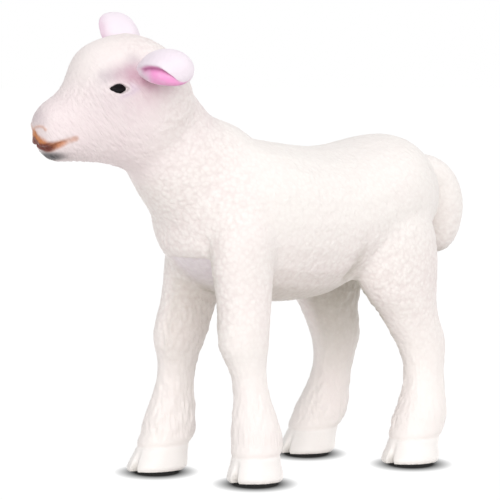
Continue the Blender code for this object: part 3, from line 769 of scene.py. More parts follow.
def vertex_normals(points, faces):
    """Area-weighted normals."""
    crosses = face_crosses(points, faces)
    summed = np.zeros_like(points)
    for corner in range(3):
        np.add.at(summed, faces[:, corner], crosses)
    return summed / np.maximum(np.linalg.norm(summed, axis=1), TINY)[:, None]


def head_places(points):
    """Each point in the head's own axes: left, forward and up from the middle of the skull, in millimetres."""
    turn = np.array(head_frame().inverted())
    local = points @ turn[:3, :3].T + turn[:3, 3]
    return local * np.array([1, -1, 1]) / MM


def triangles(mesh):
    """The points, triangles and normals of a mesh."""
    shape = bmesh.new()
    shape.from_mesh(mesh)
    bmesh.ops.triangulate(shape, faces=shape.faces)
    points, faces = arrays(shape)
    shape.free()
    return points, faces, vertex_normals(points, faces)


def headness(places):
    """1 on the head and 0 away from it, by the distance from a line inside the skull and muzzle."""
    distance, _ = along_line(places, SKULL_LINE)
    return 1 - ramp(distance, 9.5, 12.5)


def eye_spans(places):
    """Almond distance from the middle of an eye, 1 on its edge."""
    left, forward, up = places.T
    along = np.abs(forward - EYE_PLACE[1]) / EYE_HALF[0]
    tall = np.abs(up - EYE_PLACE[2]) / EYE_HALF[1]
    span = (along**EYE_CORNER_POWER + tall**EYE_CORNER_POWER) ** (1 / EYE_CORNER_POWER)
    return np.where(np.abs(left) > EYE_LEAST_LEFT, span, FAR_FROM_EYE)


def leg_places(points, all_legs):
    """For each point, the share of its nearest leg's height, and its offsets across and along that leg."""
    best = np.full(len(points), np.inf)
    found = np.zeros((len(points), 3))
    for leg in all_legs:
        up, x, y, _, _ = leg.sections(points)
        across, along = x / leg.width, y / leg.length
        distance = across**2 + along**2
        closer = distance < best
        best[closer] = distance[closer]
        found[closer] = np.stack([up, across, along], axis=1)[closer]
    return found.T


class Skin:
    """A run of the skin's points, whose relief and masks are worked out part by part, in millimetres."""

    def __init__(self, points, normals, all_legs):
        self.points = points / MM
        self.x, self.y, self.z = self.points.T
        self.side = np.abs(self.x)
        self.down = -normals[:, 2]
        self.outward = np.sign(self.x) * normals[:, 0]
        self.left, self.forward, self.up = places = head_places(points).T
        self.face = np.stack([np.abs(self.left), self.forward, self.up], axis=1)
        self.leg_up, self.leg_across, self.leg_along = leg_places(points, all_legs)
        self.head = headness(places.T)
        self.low = 1 - self.head
        self.woolly = self.wool_share()
        bends = [grain(self.points, BEND_SIZE, seed) for seed in (3, 17, 29)]
        self.bent = self.points + BEND_DEPTH * np.stack(bends, axis=1)
        self.height = np.zeros(len(points))
        self.masks = {}

    def wool_share(self):
        """Where wool grows: on the body, the neck, the tops of the legs and the crown."""
        body = sum(share * ramp(self.leg_up, *span) for share, *span in LEG_WOOL)
        crown = ramp(self.up, 1.5, 4.5) * ramp(-self.forward, -4.0, 1.0)
        return body * (self.head * np.maximum(ramp(-self.forward, -1.0, 4.5), crown) + self.low)

    def around(self, place, sizes):
        """The distance from a place on either side of the face, in shares of three half sizes."""
        return np.linalg.norm((self.face - np.array(place)) / np.array(sizes), axis=1)

    def spot(self, place, sizes):
        """1 at a place on the face, which falls off over three half sizes."""
        return bell(self.around(place, sizes), 1.0)

    def grow_wool(self):
        """Curls and crimps, flatter on the upper body and the shoulders."""
        curls = grain(self.bent, CURL_SIZE, seed=5)
        crimps = grain(self.bent, CRIMP_SIZE, seed=11)
        upper = self.low * ramp(self.z, 24, 33) * ramp(self.y, -18, -10)
        shoulder = self.low * ramp(self.outward, 0.2, 0.8) * ramp(-self.y, 4, 9)
        shoulder = shoulder * (1 - ramp(self.z, 28, 34))
        wool = self.woolly * (1 - UPPER_FLATTENING * upper) * (1 - SHOULDER_FLATTENING * shoulder)
        self.height += wool * (CURL_DEPTH * curls + CRIMP_DEPTH * crimps)
        level, from_curls, from_crimps = CREST_SHARES
        crest = np.clip(level + from_curls * curls + from_crimps * crimps, 0, 1)
        # The upper mask also tints the upper body paler and less pink, a painted highlight, and the crest mask sets
        # the painted shade below the wool's crests
        self.masks |= {"wool": wool, "upper": upper, "crest": crest}

    def comb_face(self):
        """Hair that lies back and down along the cheeks, and the muzzle's tip trimmed."""
        level, fall = HAIR_FALL
        turned = np.stack([
            self.left / HAIR_WIDTH,
            (self.forward * level + self.up * fall) / HAIR_LENGTH,
            (self.up * level - self.forward * fall) / HAIR_WIDTH,
        ], axis=1)
        face = self.head * (1 - self.woolly)
        cheek = face * ramp(-self.forward, -9.5, -6.5) * ramp(-self.up, -3.0, 2.0)
        self.height += HAIR_DEPTH * grain(turned, 1, seed=7) * (FACE_HAIR * face + CHEEK_HAIR * cheek)
        self.height -= self.head * MUZZLE_TRIM * ramp(self.forward, 10.0, 11.8)

    def comb_legs(self):
        """Short hair down the shins and thighs, fuller on their inner sides."""
        above_hoof = self.low * ramp(self.z, CORONET_HEIGHT, CORONET_HEIGHT * HAIR_START_SHARE)
        shin = (1 - self.woolly) * above_hoof
        thigh = above_hoof * bell(self.leg_up - 0.60, width=0.26)
        sizes = np.array([HAIR_WIDTH, HAIR_WIDTH, HAIR_LENGTH]) / LEG_HAIR_FINENESS
        strokes = grain(self.bent / sizes, 1, seed=13)
        fullness = np.maximum(SHIN_HAIR * shin, THIGH_HAIR * thigh)
        self.height += HAIR_DEPTH * strokes * fullness * (1 + INNER_HAIR * ramp(-self.outward, -0.2, 0.6))
        self.masks["shin"] = shin

    def shape_hooves(self):
        """A groove at the coronet, a swelling above it, and a wall that flares to the sole."""
        top = CORONET_HEIGHT
        self.height -= self.low * mark(self.z - top, height=0.13, width=0.22)
        self.height += self.low * mark(self.z - top - 0.65, height=0.12, width=0.55)
        flare = ramp(self.z, 0.4, top * WALL_SHARE) * (1 - ramp(self.z, top, top * 2))
        self.height -= self.low * HOOF_FLARE * flare
        self.height -= self.low * WALL_DEPTH * (1 - ramp(self.z, 0, top * WALL_SHARE))
        depth, reach = SOLE_ROUND
        self.height -= self.low * depth * np.clip(1 - self.z / reach, 0, 1) ** 2
        self.masks["hoof"] = self.low * ramp(top - self.z, *HOOF_EDGE)

    def fold_body(self):
        """The flanks' folds, the breast over the hollow between the forelegs, and the painted shade in the recesses.
        """
        distance, share = along_line(np.stack([self.side, self.y, self.z], axis=1), FLANK)
        depth, width = FLANK_MARK
        depth = depth + FLANK_LOW_DEPTH * (1 - ramp(share, 0, 0.4))
        self.height -= depth * bell(distance, width) * (1 - ramp(share, 0.45, 1.0))
        crease = bell(distance, width=1.0) * (1 - ramp(share, 0.20, 0.80))

        below = BRISKET_HEIGHT - self.z
        breast = self.low * (1 - ramp(self.side, 3.0, 4.6)) * ramp(-self.y, 11.0, 14.5)
        hollow = breast * ramp(below, -0.1, 0.9) * (1 - ramp(below, 2.6, 5.6))
        self.height += breast * mark(below + 1.0, height=0.25, width=1.1) - HOLLOW_DEPTH * hollow

        # Tan painted shade on the legs' inner sides, in the flanks' creases, under the belly and between the claws
        inner = self.low * ramp(-self.outward, -0.05, 0.60) * ramp(self.leg_up, 0.22, 0.80)
        inner = inner * (1 - ramp(self.z, 26, 31)) * np.where(self.y > 0, 1.0, FORELEG_TAN_SHADE)
        under = self.low * ramp(self.down, 0.55, 1.0) * ramp(self.z, 14, 18)
        under = under * (1 - ramp(self.z, 26, 30))
        notch = self.low * bell(self.leg_across, width=0.14) * ramp(-self.leg_along, 0.30, 0.65)
        notch = notch * (1 - ramp(self.z, 0.5, 1.8))
        tan_shades = zip(TAN_SHADE_SHARES, (inner, crease, under, notch))
        self.masks["tan_painted_shade"] = np.clip(sum(share * tan_painted_shade for share, tan_painted_shade in tan_shades), 0, 1)
        # Lilac painted shade in the hollow under the breast
        self.masks["lilac_painted_shade"] = hollow

    def shape_muzzle(self):
        """The mouth's groove and lips, the nostrils, and their paint."""
        near = self.head * ramp(self.forward, 5.0, 6.5)
        distance, share = along_line(self.face, MOUTH)
        closed = 1 - ramp(share, 0.50, 0.95)
        groove = sum(mark(distance, *sizes) for sizes in MOUTH_GROOVES)
        self.height -= near * groove * at_least(0.12, closed)
        mouth = np.array(MOUTH)
        under = ramp(np.interp(self.face[:, 0], mouth[:, 0], mouth[:, 2]) - self.up, -0.1, 0.1)
        ridge = mark(distance - 0.65, height=0.14, width=0.40) * (1 - LOWER_LIP_LESS * under)
        self.height += near * ridge * closed
        self.height += near * LIP_BULGE * self.spot(*LIP_BULGE_SPOT)
        distance, share = along_line(self.face, mouth + np.array(LIP_DARK_RAISED))
        dark = (1 - ramp(distance, 0.42, 0.82)) * (1 - ramp(share, 0.34, 0.66))
        self.masks["lip"] = self.head * dark

        distance, share = along_line(self.face, LIP_BAND)
        width = np.interp(share, *LIP_BAND_WIDTHS)
        orange = near * (1 - ramp(distance / width, 0.35, 1.25))
        orange = orange * (1 - LIP_BAND_END_LESS * ramp(share, 0.45, 1.0))
        distance, _ = along_line(self.face, NOSTRIL)
        self.height += near * mark(distance, height=0.09, width=0.26)
        slit, _ = along_line(self.face, NOSTRIL_SLIT)
        self.height -= near * mark(slit, height=0.26, width=0.18)
        nose = mark(distance - 0.05, height=0.50, width=0.17) + NOSE_FRONT_PAINT * self.spot(*NOSE_FRONT_SPOT)
        self.masks["orange"] = np.clip(orange + near * nose, 0, 1)
        self.masks["slit"] = near * bell(slit, width=0.20)

    def shape_chin(self):
        """The chin's swelling and its dark painted shade."""
        self.height += self.head * CHIN_BULGE * self.spot(*CHIN_BULGE_SPOT)
        shade = 1 - ramp(self.around(*CHIN_SHADE_SPOT), 0.25, 1.6)
        self.masks["chin_painted_shade"] = self.head * np.maximum(shade, CHIN_SHADE_HAZE * self.spot(*CHIN_SHADE_HAZE_SPOT))

    def shape_eyes(self):
        """The eyes' pits and lids, the pink paint round them and on the face, and painted shade over the brow, round
        the sockets, on the lids, down the cheeks and on the nose's front.
        """
        span = eye_spans(np.stack([self.left, self.forward, self.up], axis=1))
        self.height -= EYE_PIT_DEPTH * (1 - ramp(span, 0.88, 1.08))
        self.height += mark(span - 1.42, height=0.13, width=0.34) + mark(span, height=0.10, width=2.6)
        # Painted shade on the lids, faint all round and full behind and below the eye
        behind = EYE_PLACE[1] - self.forward + LID_BEHIND_DROP * (EYE_PLACE[2] - self.up)
        lid_painted_shade = bell(span - 1.65, width=0.60)
        self.masks["lid_painted_shade"] = lid_painted_shade * at_least(0.10, ramp(behind, 0.2, 1.4))

        distance, share = along_line(self.face, PINK_BROW)
        smear = bell(distance, width=1.30) * at_least(0.60, ramp(share, 0.0, 0.15))
        smear = smear * (1 - PINK_END_LESS * ramp(share, 0.60, 0.90))
        self.masks["pink"] = np.clip(self.head * (smear + BLUSH * self.spot(*BLUSH_SPOT)), 0, 1)
        # Painted grey shade over the brow, round the socket and on the nose's front
        distance, _ = along_line(self.face, BROW)
        nose = ramp(self.forward, 10.2, 11.8) * ramp(self.up, -5.6, -4.4)
        socket = self.spot(*SOCKET_SPOT) * ramp(span, 1.6, 2.6)
        painted_shade_grey = BROW_SHADE * bell(distance, width=1.0) + NOSE_FRONT_SHADE * nose + SOCKET_SHADE * socket
        self.masks["painted_shade_grey"] = np.clip(self.head * painted_shade_grey, 0, 1)
        # Pink paint over the face, stronger forward, with painted shade that deepens down the cheeks
        tint = at_least(0.42, ramp(-self.up, -1.5, 2.5))
        self.masks["face"] = self.head * tint * at_least(0.30, ramp(self.forward, -5.0, 2.0))


def relief(points, normals, all_legs):
    """The points with their relief, and the skin's masks."""
    skin = Skin(points, normals, all_legs)
    skin.grow_wool()
    skin.comb_face()
    skin.comb_legs()
    skin.shape_hooves()
    skin.fold_body()
    skin.shape_muzzle()
    skin.shape_eyes()
    skin.shape_chin()
    return points + normals * (skin.height * MM)[:, None], skin.masks


def split_toes(points, all_legs):
    """Push the skin back between each hoof's two claws."""
    for leg in all_legs:
        toe = leg.toe()
        rise = np.clip(points[:, 2] / CLEFT_HEIGHT, 0, 1)
        wide, narrowing = CLEFT_HALF_WIDTHS
        offset = np.abs(points[:, 0] - toe.x) / (CLEFT_WIDTH * (wide - narrowing * rise))
        ahead = (points[:, 1] < toe.y + CLEFT_LENGTH * CLEFT_BEHIND) & (points[:, 1] > toe.y - CLEFT_LENGTH)
        inside = ahead & (offset < 1) & (points[:, 2] < CLEFT_HEIGHT)
        at_sole, throughout = CLEFT_CUTS
        push = CLEFT_LENGTH * (at_sole * (1 - rise) ** 3 + throughout * (1 - rise))
        points[inside, 1] += push[inside] * (1 - offset[inside] ** 2) ** CLEFT_SIDE_POWER
    return points


def near_toe(place, toe):
    """True close to a toe's tip."""
    wide, long, tall = FINE_TOE
    return abs(place.x - toe.x) < wide and abs(place.y - toe.y) < long and place.z < tall


def on_fine_face(place):
    """True at the eyes and the mouth, for a place in the head's axes."""
    left, forward, up = abs(place.x) / MM, -place.y / MM, place.z / MM
    if left >= FINE_FACE_SIDE or forward <= FINE_FACE_BACK:
        return False
    from_eye = (forward - EYE_PLACE[1]) ** 2 + (up - EYE_PLACE[2]) ** 2
    eye = left > EYE_LEAST_LEFT and from_eye < FINE_EYE_REACH_SQUARED
    low, high = FINE_MOUTH_HEIGHTS
    return eye or (forward > FINE_MOUTH_AHEAD and low < up < high)


def refined(mesh, all_legs):
    """A triangulated bmesh of the skin, finer at the eyes, the mouth and the toes."""
    shape = bmesh.new()
    shape.from_mesh(mesh)
    inverse = head_frame().inverted()
    toes = [leg.toe() for leg in all_legs]
    chosen = {
        vertex for vertex in shape.verts
        if any(near_toe(vertex.co, toe) for toe in toes) or on_fine_face(inverse @ vertex.co)
    }
    edges = [edge for edge in shape.edges if edge.verts[0] in chosen and edge.verts[1] in chosen]
    bmesh.ops.subdivide_edges(shape, edges=edges, cuts=1, use_grid_fill=True, smooth=0)
    bmesh.ops.triangulate(shape, faces=shape.faces)
    return shape


def set_points(shape, points):
    """Move a bmesh's vertices."""
    for vertex, place in zip(shape.verts, points.tolist()):
        vertex.co = place


def carry(shape, masks):
    """Store masks on a bmesh's vertices."""
    for label, values in masks.items():
        layer = shape.verts.layers.float.new(label)
        for vertex, value in zip(shape.verts, values.tolist()):
            vertex[layer] = value


def carried(shape, labels):
    """Read the masks back."""
    layers = {label: shape.verts.layers.float[label] for label in labels}
    return {label: np.array([vertex[layer] for vertex in shape.verts]) for label, layer in layers.items()}


def cut_soles(shape):
    """Cut the skin off at the ground and close each sole."""
    everything = [*shape.verts, *shape.edges, *shape.faces]
    cut = bmesh.ops.bisect_plane(
        shape, geom=everything, plane_co=(0, 0, 0), plane_no=(0, 0, 1), clear_inner=True, dist=ON_GROUND
    )
    rims = [made for made in cut["geom_cut"] if isinstance(made, bmesh.types.BMEdge)]
    bmesh.ops.holes_fill(shape, edges=rims, sides=0)
    bmesh.ops.triangulate(shape, faces=shape.faces)
    bmesh.ops.recalc_face_normals(shape, faces=shape.faces)


def in_leg(points, leg):
    """Which points belong to a leg's moulding."""
    up, x, y, half_width, half_length = leg.sections(points)
    span = (x / (half_width + SEAM_MARGIN)) ** 2 + (y / (half_length + SEAM_MARGIN)) ** 2
    return (span < 1) & (leg.side * points[:, 0] > BODY_WEB / 2) & (up < leg.shares[-1][0])


def largest_patch(faces, chosen):
    """Keep the largest joined patch of the chosen faces."""
    own = faces[chosen]
    parent = {}

    def root(item):
        while parent[item] != item:
            parent[item] = parent[parent[item]]
            item = parent[item]
        return item

    for face in own.tolist():
        for corner in face:
            parent.setdefault(corner, corner)
        first = root(face[0])
        for corner in face[1:]:
            other = root(corner)
            if other != first:
                parent[other] = first
    roots = np.array([root(face[0]) for face in own.tolist()])
    names, counts = np.unique(roots, return_counts=True)
    keep = np.zeros(len(faces), bool)
    keep[np.flatnonzero(chosen)[roots == names[counts.argmax()]]] = True
    return keep


def rims_of(faces):
    """The open edges of a patch, as directed pairs in the order that closes it."""
    edges = np.concatenate([faces[:, [0, 1]], faces[:, [1, 2]], faces[:, [2, 0]]])
    size = faces.max() + 1
    key = edges[:, 0] * size + edges[:, 1]
    back = edges[:, 1] * size + edges[:, 0]
    return edges[~np.isin(key, back)]


def rim_loops(edges):
    """The open edges sorted into closed loops of vertices."""
    after = {}
    for first, last in edges.tolist():
        after.setdefault(first, []).append(last)
    loops = []
    while after:
        start = next(iter(after))
        loop = [start]
        while True:
            nexts = after[loop[-1]]
            step = nexts.pop()
            if not nexts:
                del after[loop[-1]]
            if step == start:
                break
            loop.append(step)
        loops.append(loop)
    return loops


def mesh_object(name, points, faces, masks):
    """A smooth object from arrays, which carries masks on its points."""
    mesh = bpy.data.meshes.new(name)
    mesh.from_pydata(points.tolist(), [], faces.tolist())
    mesh.shade_smooth()
    for label, values in masks.items():
        layer = mesh.attributes.new(label, "FLOAT", "POINT")
        layer.data.foreach_set("value", values.astype(np.float32))
    return add_object(name, mesh)


def skin_piece(name, points, normals, faces, masks):
    """One closed moulding: its patch of the skin, and flat-lit fans that close its seams inside the lamb."""
    used, index = np.unique(faces, return_inverse=True)
    own = index.reshape(faces.shape)
    place = {vertex: at for at, vertex in enumerate(used.tolist())}
    hubs, fans = [], []
    for loop in rim_loops(rims_of(faces)):
        hub = len(used) + len(hubs)
        hubs.append(points[loop].mean(axis=0))
        fans += [(place[last], place[first], hub) for first, last in zip(loop, [*loop[1:], loop[0]])]
    all_points = np.concatenate([points[used], np.array(hubs).reshape(-1, 3)])
    all_faces = np.concatenate([own, np.array(fans, int).reshape(-1, 3)])
    own_masks = {label: np.concatenate([values[used], np.zeros(len(hubs))]) for label, values in masks.items()}
    piece = mesh_object(name, all_points, all_faces, own_masks)

    crosses = face_crosses(all_points, all_faces)
    flat = crosses / np.maximum(np.linalg.norm(crosses, axis=1), TINY)[:, None]
    corners = np.repeat(flat[:, None], 3, axis=1)
    corners[: len(own)] = normals[used][own]
    on_sole = all_points[own][:, :, 2].max(axis=1) < ON_GROUND
    corners[: len(own)][on_sole] = (0, 0, -1)
    piece.data.normals_split_custom_set(corners.reshape(-1, 3).tolist())
    return piece


def fold_line(reach):
    """The fold's angle round the ear's section, at a share of the ear's length."""
    return np.radians(np.interp(reach, *zip(*FOLD_TURNS)))


def from_fold(turn, reach):
    """How far an angle round the ear's section is past the fold, from -pi to pi."""
    return (turn - fold_line(reach) + math.pi) % (2 * math.pi) - math.pi


def folded_ear_rings(ear):
    """The left ear's plump sections: a lobe folded over a lip, with a deep line between them."""
    forward, up = ear.level_axes()
    above_fold, below_fold = FOLD_WIDTHS
    lip_height, lip_turn, lip_width = EAR_LIP
    brim_height, brim_turn, brim_width = EAR_BRIM
    rings = []
    for reach, middle, half_depth, half_height, fold in finer(FOLDED_EAR, FOLDED_EAR_SPANS):
        centre = ear.root + ear.along * reach * EAR_LENGTH + up * middle * MM
        ring = []
        for side in range(FOLDED_EAR_SIDES):
            turn = 2 * math.pi * side / FOLDED_EAR_SIDES
            off = from_fold(turn, reach)
            lip = mark(off - lip_turn, lip_height, lip_width)
            brim = mark(off - brim_turn, brim_height, brim_width)
            groove = mark(off, FOLD_DEPTH, above_fold if off > 0 else below_fold)
            out = fold * (lip + brim - groove)
            wide = (half_depth + out) * math.cos(turn)
            tall = (half_height + out) * math.sin(turn)
            ring.append(centre + (forward * wide + up * tall) * MM)
        rings.append(ring)
    return rings


def folded_ear_masks(ear, from_root, reach):
    """The left ear's paint: its pink pocket, the dark painted shade along the fold, and the pink smear at its root."""
    forward, up = ear.level_axes()
    rows = np.array(FOLDED_EAR).T
    middle, half_depth, half_height = (np.interp(reach, rows[0], row) for row in rows[1:4])
    ahead = from_root @ np.array(forward) / MM / half_depth
    above = (from_root @ np.array(up) / MM - middle) / half_height
    off = from_fold(np.arctan2(above, ahead), reach)
    ends = ramp(reach, 0.08, 0.34) * (1 - ramp(reach, 0.930, 0.958))
    pocket = ramp(off - np.interp(reach, *POCKET_FOOT), -0.20, 0.20) * ramp(-off, -0.22, 0.0) * ends
    paler, turn, width = PALE_ROOT
    pale = bell(off - turn, width) * (1 - ramp(reach, 0.30, 0.62))
    pocket = pocket * (1 - paler * pale)
    turn, width = FOLD_SHADE_LINE
    rim_and_fold_shade = bell(off - turn, width) * ends
    share, turn, width = FOOT_RIM
    rim_and_fold_shade = np.clip(rim_and_fold_shade + share * bell(off - turn, width) * ends * ramp(reach, 0.3, 0.6), 0, 1)
    smear = (1 - ramp(reach, 0.10, 0.45)) * ramp(-off, 0.2, 0.9)
    return {"hollow": pocket, "rim_and_fold_shade": rim_and_fold_shade, "smear": smear * (1 - EAR_SMEAR_LESS * pocket)}


def pricked_ear_masks(ear, normals, wide, reach):
    """The right ear's paint: its pink hollow and its rim."""
    rows = np.array(EAR_SHARES)
    to_rim = np.abs(wide) / np.interp(reach, rows[:, 0], rows[:, 1])
    hollow = ramp(-(normals @ np.array(ear.back)), 0.0, 0.35)
    hollow = hollow * (1 - ramp(to_rim, 0.80, 0.97)) * (1 - ramp(reach, 0.86, 0.97))
    return {"hollow": hollow, "rim_and_fold_shade": mark(to_rim - 1.0, height=0.35, width=0.16), "smear": np.zeros(len(reach))}


def ear_form(ear, shift):
    """A fine ear, and its masks."""
    folded = ear.name == "ear_left"
    leaf = loft(folded_ear_rings(ear) if folded else ear.rings())
    points, faces, normals = triangles(formed(leaf, 0, LEFT_EAR_ROUNDING if folded else RIGHT_EAR_ROUNDING))
    from_root = points - np.array(ear.root)
    reach = from_root @ np.array(ear.along) / EAR_LENGTH
    if folded:
        masks = folded_ear_masks(ear, from_root, reach)
    else:
        wide = from_root @ np.array(ear.ahead) / (EAR_WIDTH / 2)
        masks = pricked_ear_masks(ear, normals, wide, reach)
        slope = ramp(-wide, 0.0, 0.8) * ramp(reach, 0.30, 0.85)
        points = points + np.array(ear.ahead) * (EAR_TIP_SLOPE * slope)[:, None]
    hair = EAR_HAIR_DEPTH * MM * grain(points / MM, HAIR_WIDTH, seed=19)
    return mesh_object(f"{ear.name}_leaf", points + normals * hair[:, None] + shift, faces, masks)


def tail_form(all_legs, shift):
    """The woolly tail."""
    points, faces, normals = triangles(formed(loft(tail_rings()), FORM_EASING // 2, 1))
    points, masks = relief(points, normals, all_legs)
    return mesh_object("tail_wool", points + shift, faces, masks)


def eye_form(side, shift):
    """A glossy almond bead that domes out of its pit."""
    shape = bmesh.new()
    bmesh.ops.create_uvsphere(shape, u_segments=BEAD_SIDES[0], v_segments=BEAD_SIDES[1], radius=1)
    left, forward, up = EYE_PLACE
    middle = Vector((side * (left - BEAD_SUNK[0]), BEAD_SUNK[1] - forward, up)) * MM
    turn = Matrix.Rotation(side * EYE_SWEEP, 4, "Z")
    for vertex in shape.verts:
        x, y, z = vertex.co
        pointed = (abs(y) ** BEAD_CORNER_POWER + abs(z) ** BEAD_CORNER_POWER) ** (1 / BEAD_CORNER_POWER)
        squeeze = math.hypot(y, z) / pointed if pointed > 0 else 1
        place = Vector((x * BEAD_RADII[0], y * squeeze * BEAD_RADII[1], z * squeeze * BEAD_RADII[2])) * MM
        vertex.co = head_frame() @ (middle + turn @ place)
    bmesh.ops.transform(shape, matrix=Matrix.Translation(shift), verts=shape.verts)
    bmesh.ops.recalc_face_normals(shape, faces=shape.faces)
    name = "eye_left_bead" if side > 0 else "eye_right_bead"
    mesh = bpy.data.meshes.new(name)
    shape.to_mesh(mesh)
    shape.free()
    mesh.shade_smooth()
    return add_object(name, mesh)


class Nodes:
    """A node tree under construction."""

    def __init__(self, tree):
        self.tree = tree

    def add(self, kind, inputs, **settings):
        """A new node with its settings, whose inputs are each linked to a socket or set to a value."""
        node = self.tree.nodes.new(f"ShaderNode{kind}")
        for name, value in settings.items():
            setattr(node, name, value)
        for name, value in inputs.items():
            if isinstance(value, bpy.types.NodeSocket):
                self.tree.links.new(value, node.inputs[name])
            else:
                node.inputs[name].default_value = value
        return node

    def maths(self, operation, first, second):
        """One sum of two values or sockets."""
        return self.add("Math", {0: first, 1: second}, operation=operation).outputs[0]

    def product(self, *factors):
        """Values or sockets multiplied together."""
        made = factors[0]
        for factor in factors[1:]:
            made = self.maths("MULTIPLY", made, factor)
        return made

    def spread(self, source, low, high, to_low=0.0, to_high=1.0):
        """Map a value's range to another."""
        ranges = {"From Min": low, "From Max": high, "To Min": to_low, "To Max": to_high}
        return self.add("MapRange", {"Value": source, **ranges}).outputs["Result"]

    def seen(self):
        """1 for a ray from the camera, or one that gloss or glass sends on."""
        path = self.add("LightPath", {})
        seen = self.maths("MAXIMUM", path.outputs["Is Camera Ray"], path.outputs["Is Glossy Ray"])
        return self.maths("MAXIMUM", seen, path.outputs["Is Transmission Ray"])


class Finish(Nodes):
    """A node material under construction."""

    def __init__(self, name):
        self.material = bpy.data.materials.new(name)
        self.material.use_nodes = True
        super().__init__(self.material.node_tree)
        self.shader = self.tree.nodes["Principled BSDF"]
        self.place = self.add("TexCoord", {}).outputs["Object"]

    def set(self, socket, value):
        """Link a socket to one of the shader's, or set a value on it."""
        if isinstance(value, bpy.types.NodeSocket):
            self.tree.links.new(value, self.shader.inputs[socket])
        else:
            self.shader.inputs[socket].default_value = value

    def noise(self, size, detail=2.0, roughness=0.5, stretch=None, distortion=0.0, turned=False):
        """Noise of one size in metres, 0 to 1, drawn out along z or, when turned, along the cheek's hair."""
        place = self.place
        if turned:
            lay = head_frame().to_3x3() @ Vector(HAIR_LAY)
            turn = lay.rotation_difference(Vector((0, 0, 1))).to_euler()
            place = self.add("Mapping", {"Vector": place, "Rotation": turn}).outputs["Vector"]
        if stretch:
            place = self.add("Mapping", {"Vector": place, "Scale": stretch}).outputs["Vector"]
        grains = {"Scale": 1 / size, "Detail": detail, "Roughness": roughness, "Distortion": distortion}
        return self.add("TexNoise", {"Vector": place, **grains}).outputs["Fac"]

    def cloud(self, size, detail, low=0.0, high=1.0):
        """Noise of one size whose middle range is spread from low to high."""
        return self.spread(self.noise(size, detail), *NOISE_MIDDLE, low, high)

    def pits(self, size):
        """0 on top of small rounded grains and up to about 1 between them."""
        bend = self.add("TexNoise", {"Vector": self.place, "Scale": 1 / (2 * size), "Detail": 1})
        inputs = {0: bend.outputs["Color"], 1: (size, size, size), 2: self.place}
        bent = self.add("VectorMath", inputs, operation="MULTIPLY_ADD")
        cells = self.add("TexVoronoi", {"Vector": bent.outputs["Vector"], "Scale": 1 / size})
        return cells.outputs["Distance"]

    def mask(self, label, least=0.0, most=1.0):
        """A mask that the mesh carries, spread from a least to a most value."""
        made = self.add("Attribute", {}, attribute_name=label).outputs["Fac"]
        return made if (least, most) == (0.0, 1.0) else self.spread(made, 0, 1, least, most)

    def tint(self, base, share, colour):
        """Blend a colour over another by a share."""
        under = (*base, 1) if isinstance(base, tuple) else base
        inputs = {"Factor": share, 6: under, 7: (*colour, 1)}
        return self.add("Mix", inputs, data_type="RGBA").outputs[2]

    def sprayed(self, colour, sprays, speckle):
        """A colour under sprays of paint and of painted shade, each through its mask."""
        for label, strength, shade in sprays:
            colour = self.tint(colour, self.product(self.mask(label), strength, speckle), shade)
        return colour

    def bump(self, height, strength, distance, under=None):
        """Relief too fine for the mesh."""
        inputs = {"Height": height, "Strength": strength, "Distance": distance}
        if under:
            inputs["Normal"] = under
        return self.add("Bump", inputs).outputs["Normal"]


def vinyl_finish():
    """Warm white moulded vinyl with sprayed pink and brown, painted shade in its hollows, creases and round the face,
    and a paler painted highlight on the upper body.
    """
    made = Finish("white_vinyl")
    pits = made.pits(STIPPLE_SIZE)
    wool = made.mask("wool")
    # Painted shade in the pits between the wool's grains and below the crests
    pit_shade = made.maths("ADD", made.spread(pits, *NOISE_WIDE, 0, 0.30), made.mask("crest", 0.12, 0))
    colour = made.tint(VINYL, made.cloud(0.009, 3), VINYL_SHADE)
    colour = made.tint(colour, made.product(pit_shade, wool), WOOL_PIT_SHADE)
    speckle = made.spread(made.noise(0.0011, 3, SPECKLE_ROUGHNESS), *NOISE_WIDE, 0.80, 1.15)
    made.set("Base Color", made.sprayed(colour, SPRAYS_AND_PAINTED_LIGHT, speckle))
    rough = made.cloud(0.0035, 3, 0.42, 0.54)
    made.set("Roughness", made.maths("SUBTRACT", rough, made.product(made.mask("hoof"), HOOF_SMOOTHER)))
    fine = made.product(made.noise(0.00036, distortion=0.6), made.mask("wool", 0.40, 1))
    streaks = made.product(made.noise(0.00042, stretch=(1, 1, 0.16)), made.mask("shin", 0, LEG_STREAK_SHARE))
    hairs = made.noise(0.00028, stretch=(1, 1, 0.20), turned=True)
    hairs = made.product(hairs, made.mask("face", 0, FACE_STREAK_SHARE))
    strokes = made.maths("ADD", made.maths("ADD", fine, streaks), hairs)
    grains = made.product(made.maths("SUBTRACT", 1.0, made.product(pits, pits)), wool)
    normal = made.bump(strokes, 0.6, 0.00010)
    normal = made.bump(grains, 0.7, 0.00010, normal)
    made.set("Normal", made.bump(made.noise(0.00012), 0.12, 0.00001, normal))
    made.set("Specular IOR Level", VINYL_SPECULAR)
    return made.material


def ear_finish():
    """Lilac-white vinyl with a pink hollow, and a dark line that is painted shade along the left ear's fold."""
    made = Finish("ear_vinyl")
    colour = made.tint(EAR_VINYL, made.cloud(0.003, 3), EAR_SHADE)
    speckle = made.spread(made.noise(0.0009, 3, SPECKLE_ROUGHNESS), *NOISE_WIDE, 0.75, 1.15)
    made.set("Base Color", made.sprayed(colour, EAR_SPRAYS_AND_PAINTED_SHADE, speckle))
    made.set("Roughness", made.cloud(0.002, 3, 0.40, 0.52))
    made.set("Normal", made.bump(made.noise(0.0004, stretch=(1, 1, 0.4)), 0.3, 0.00004))
    return made.material


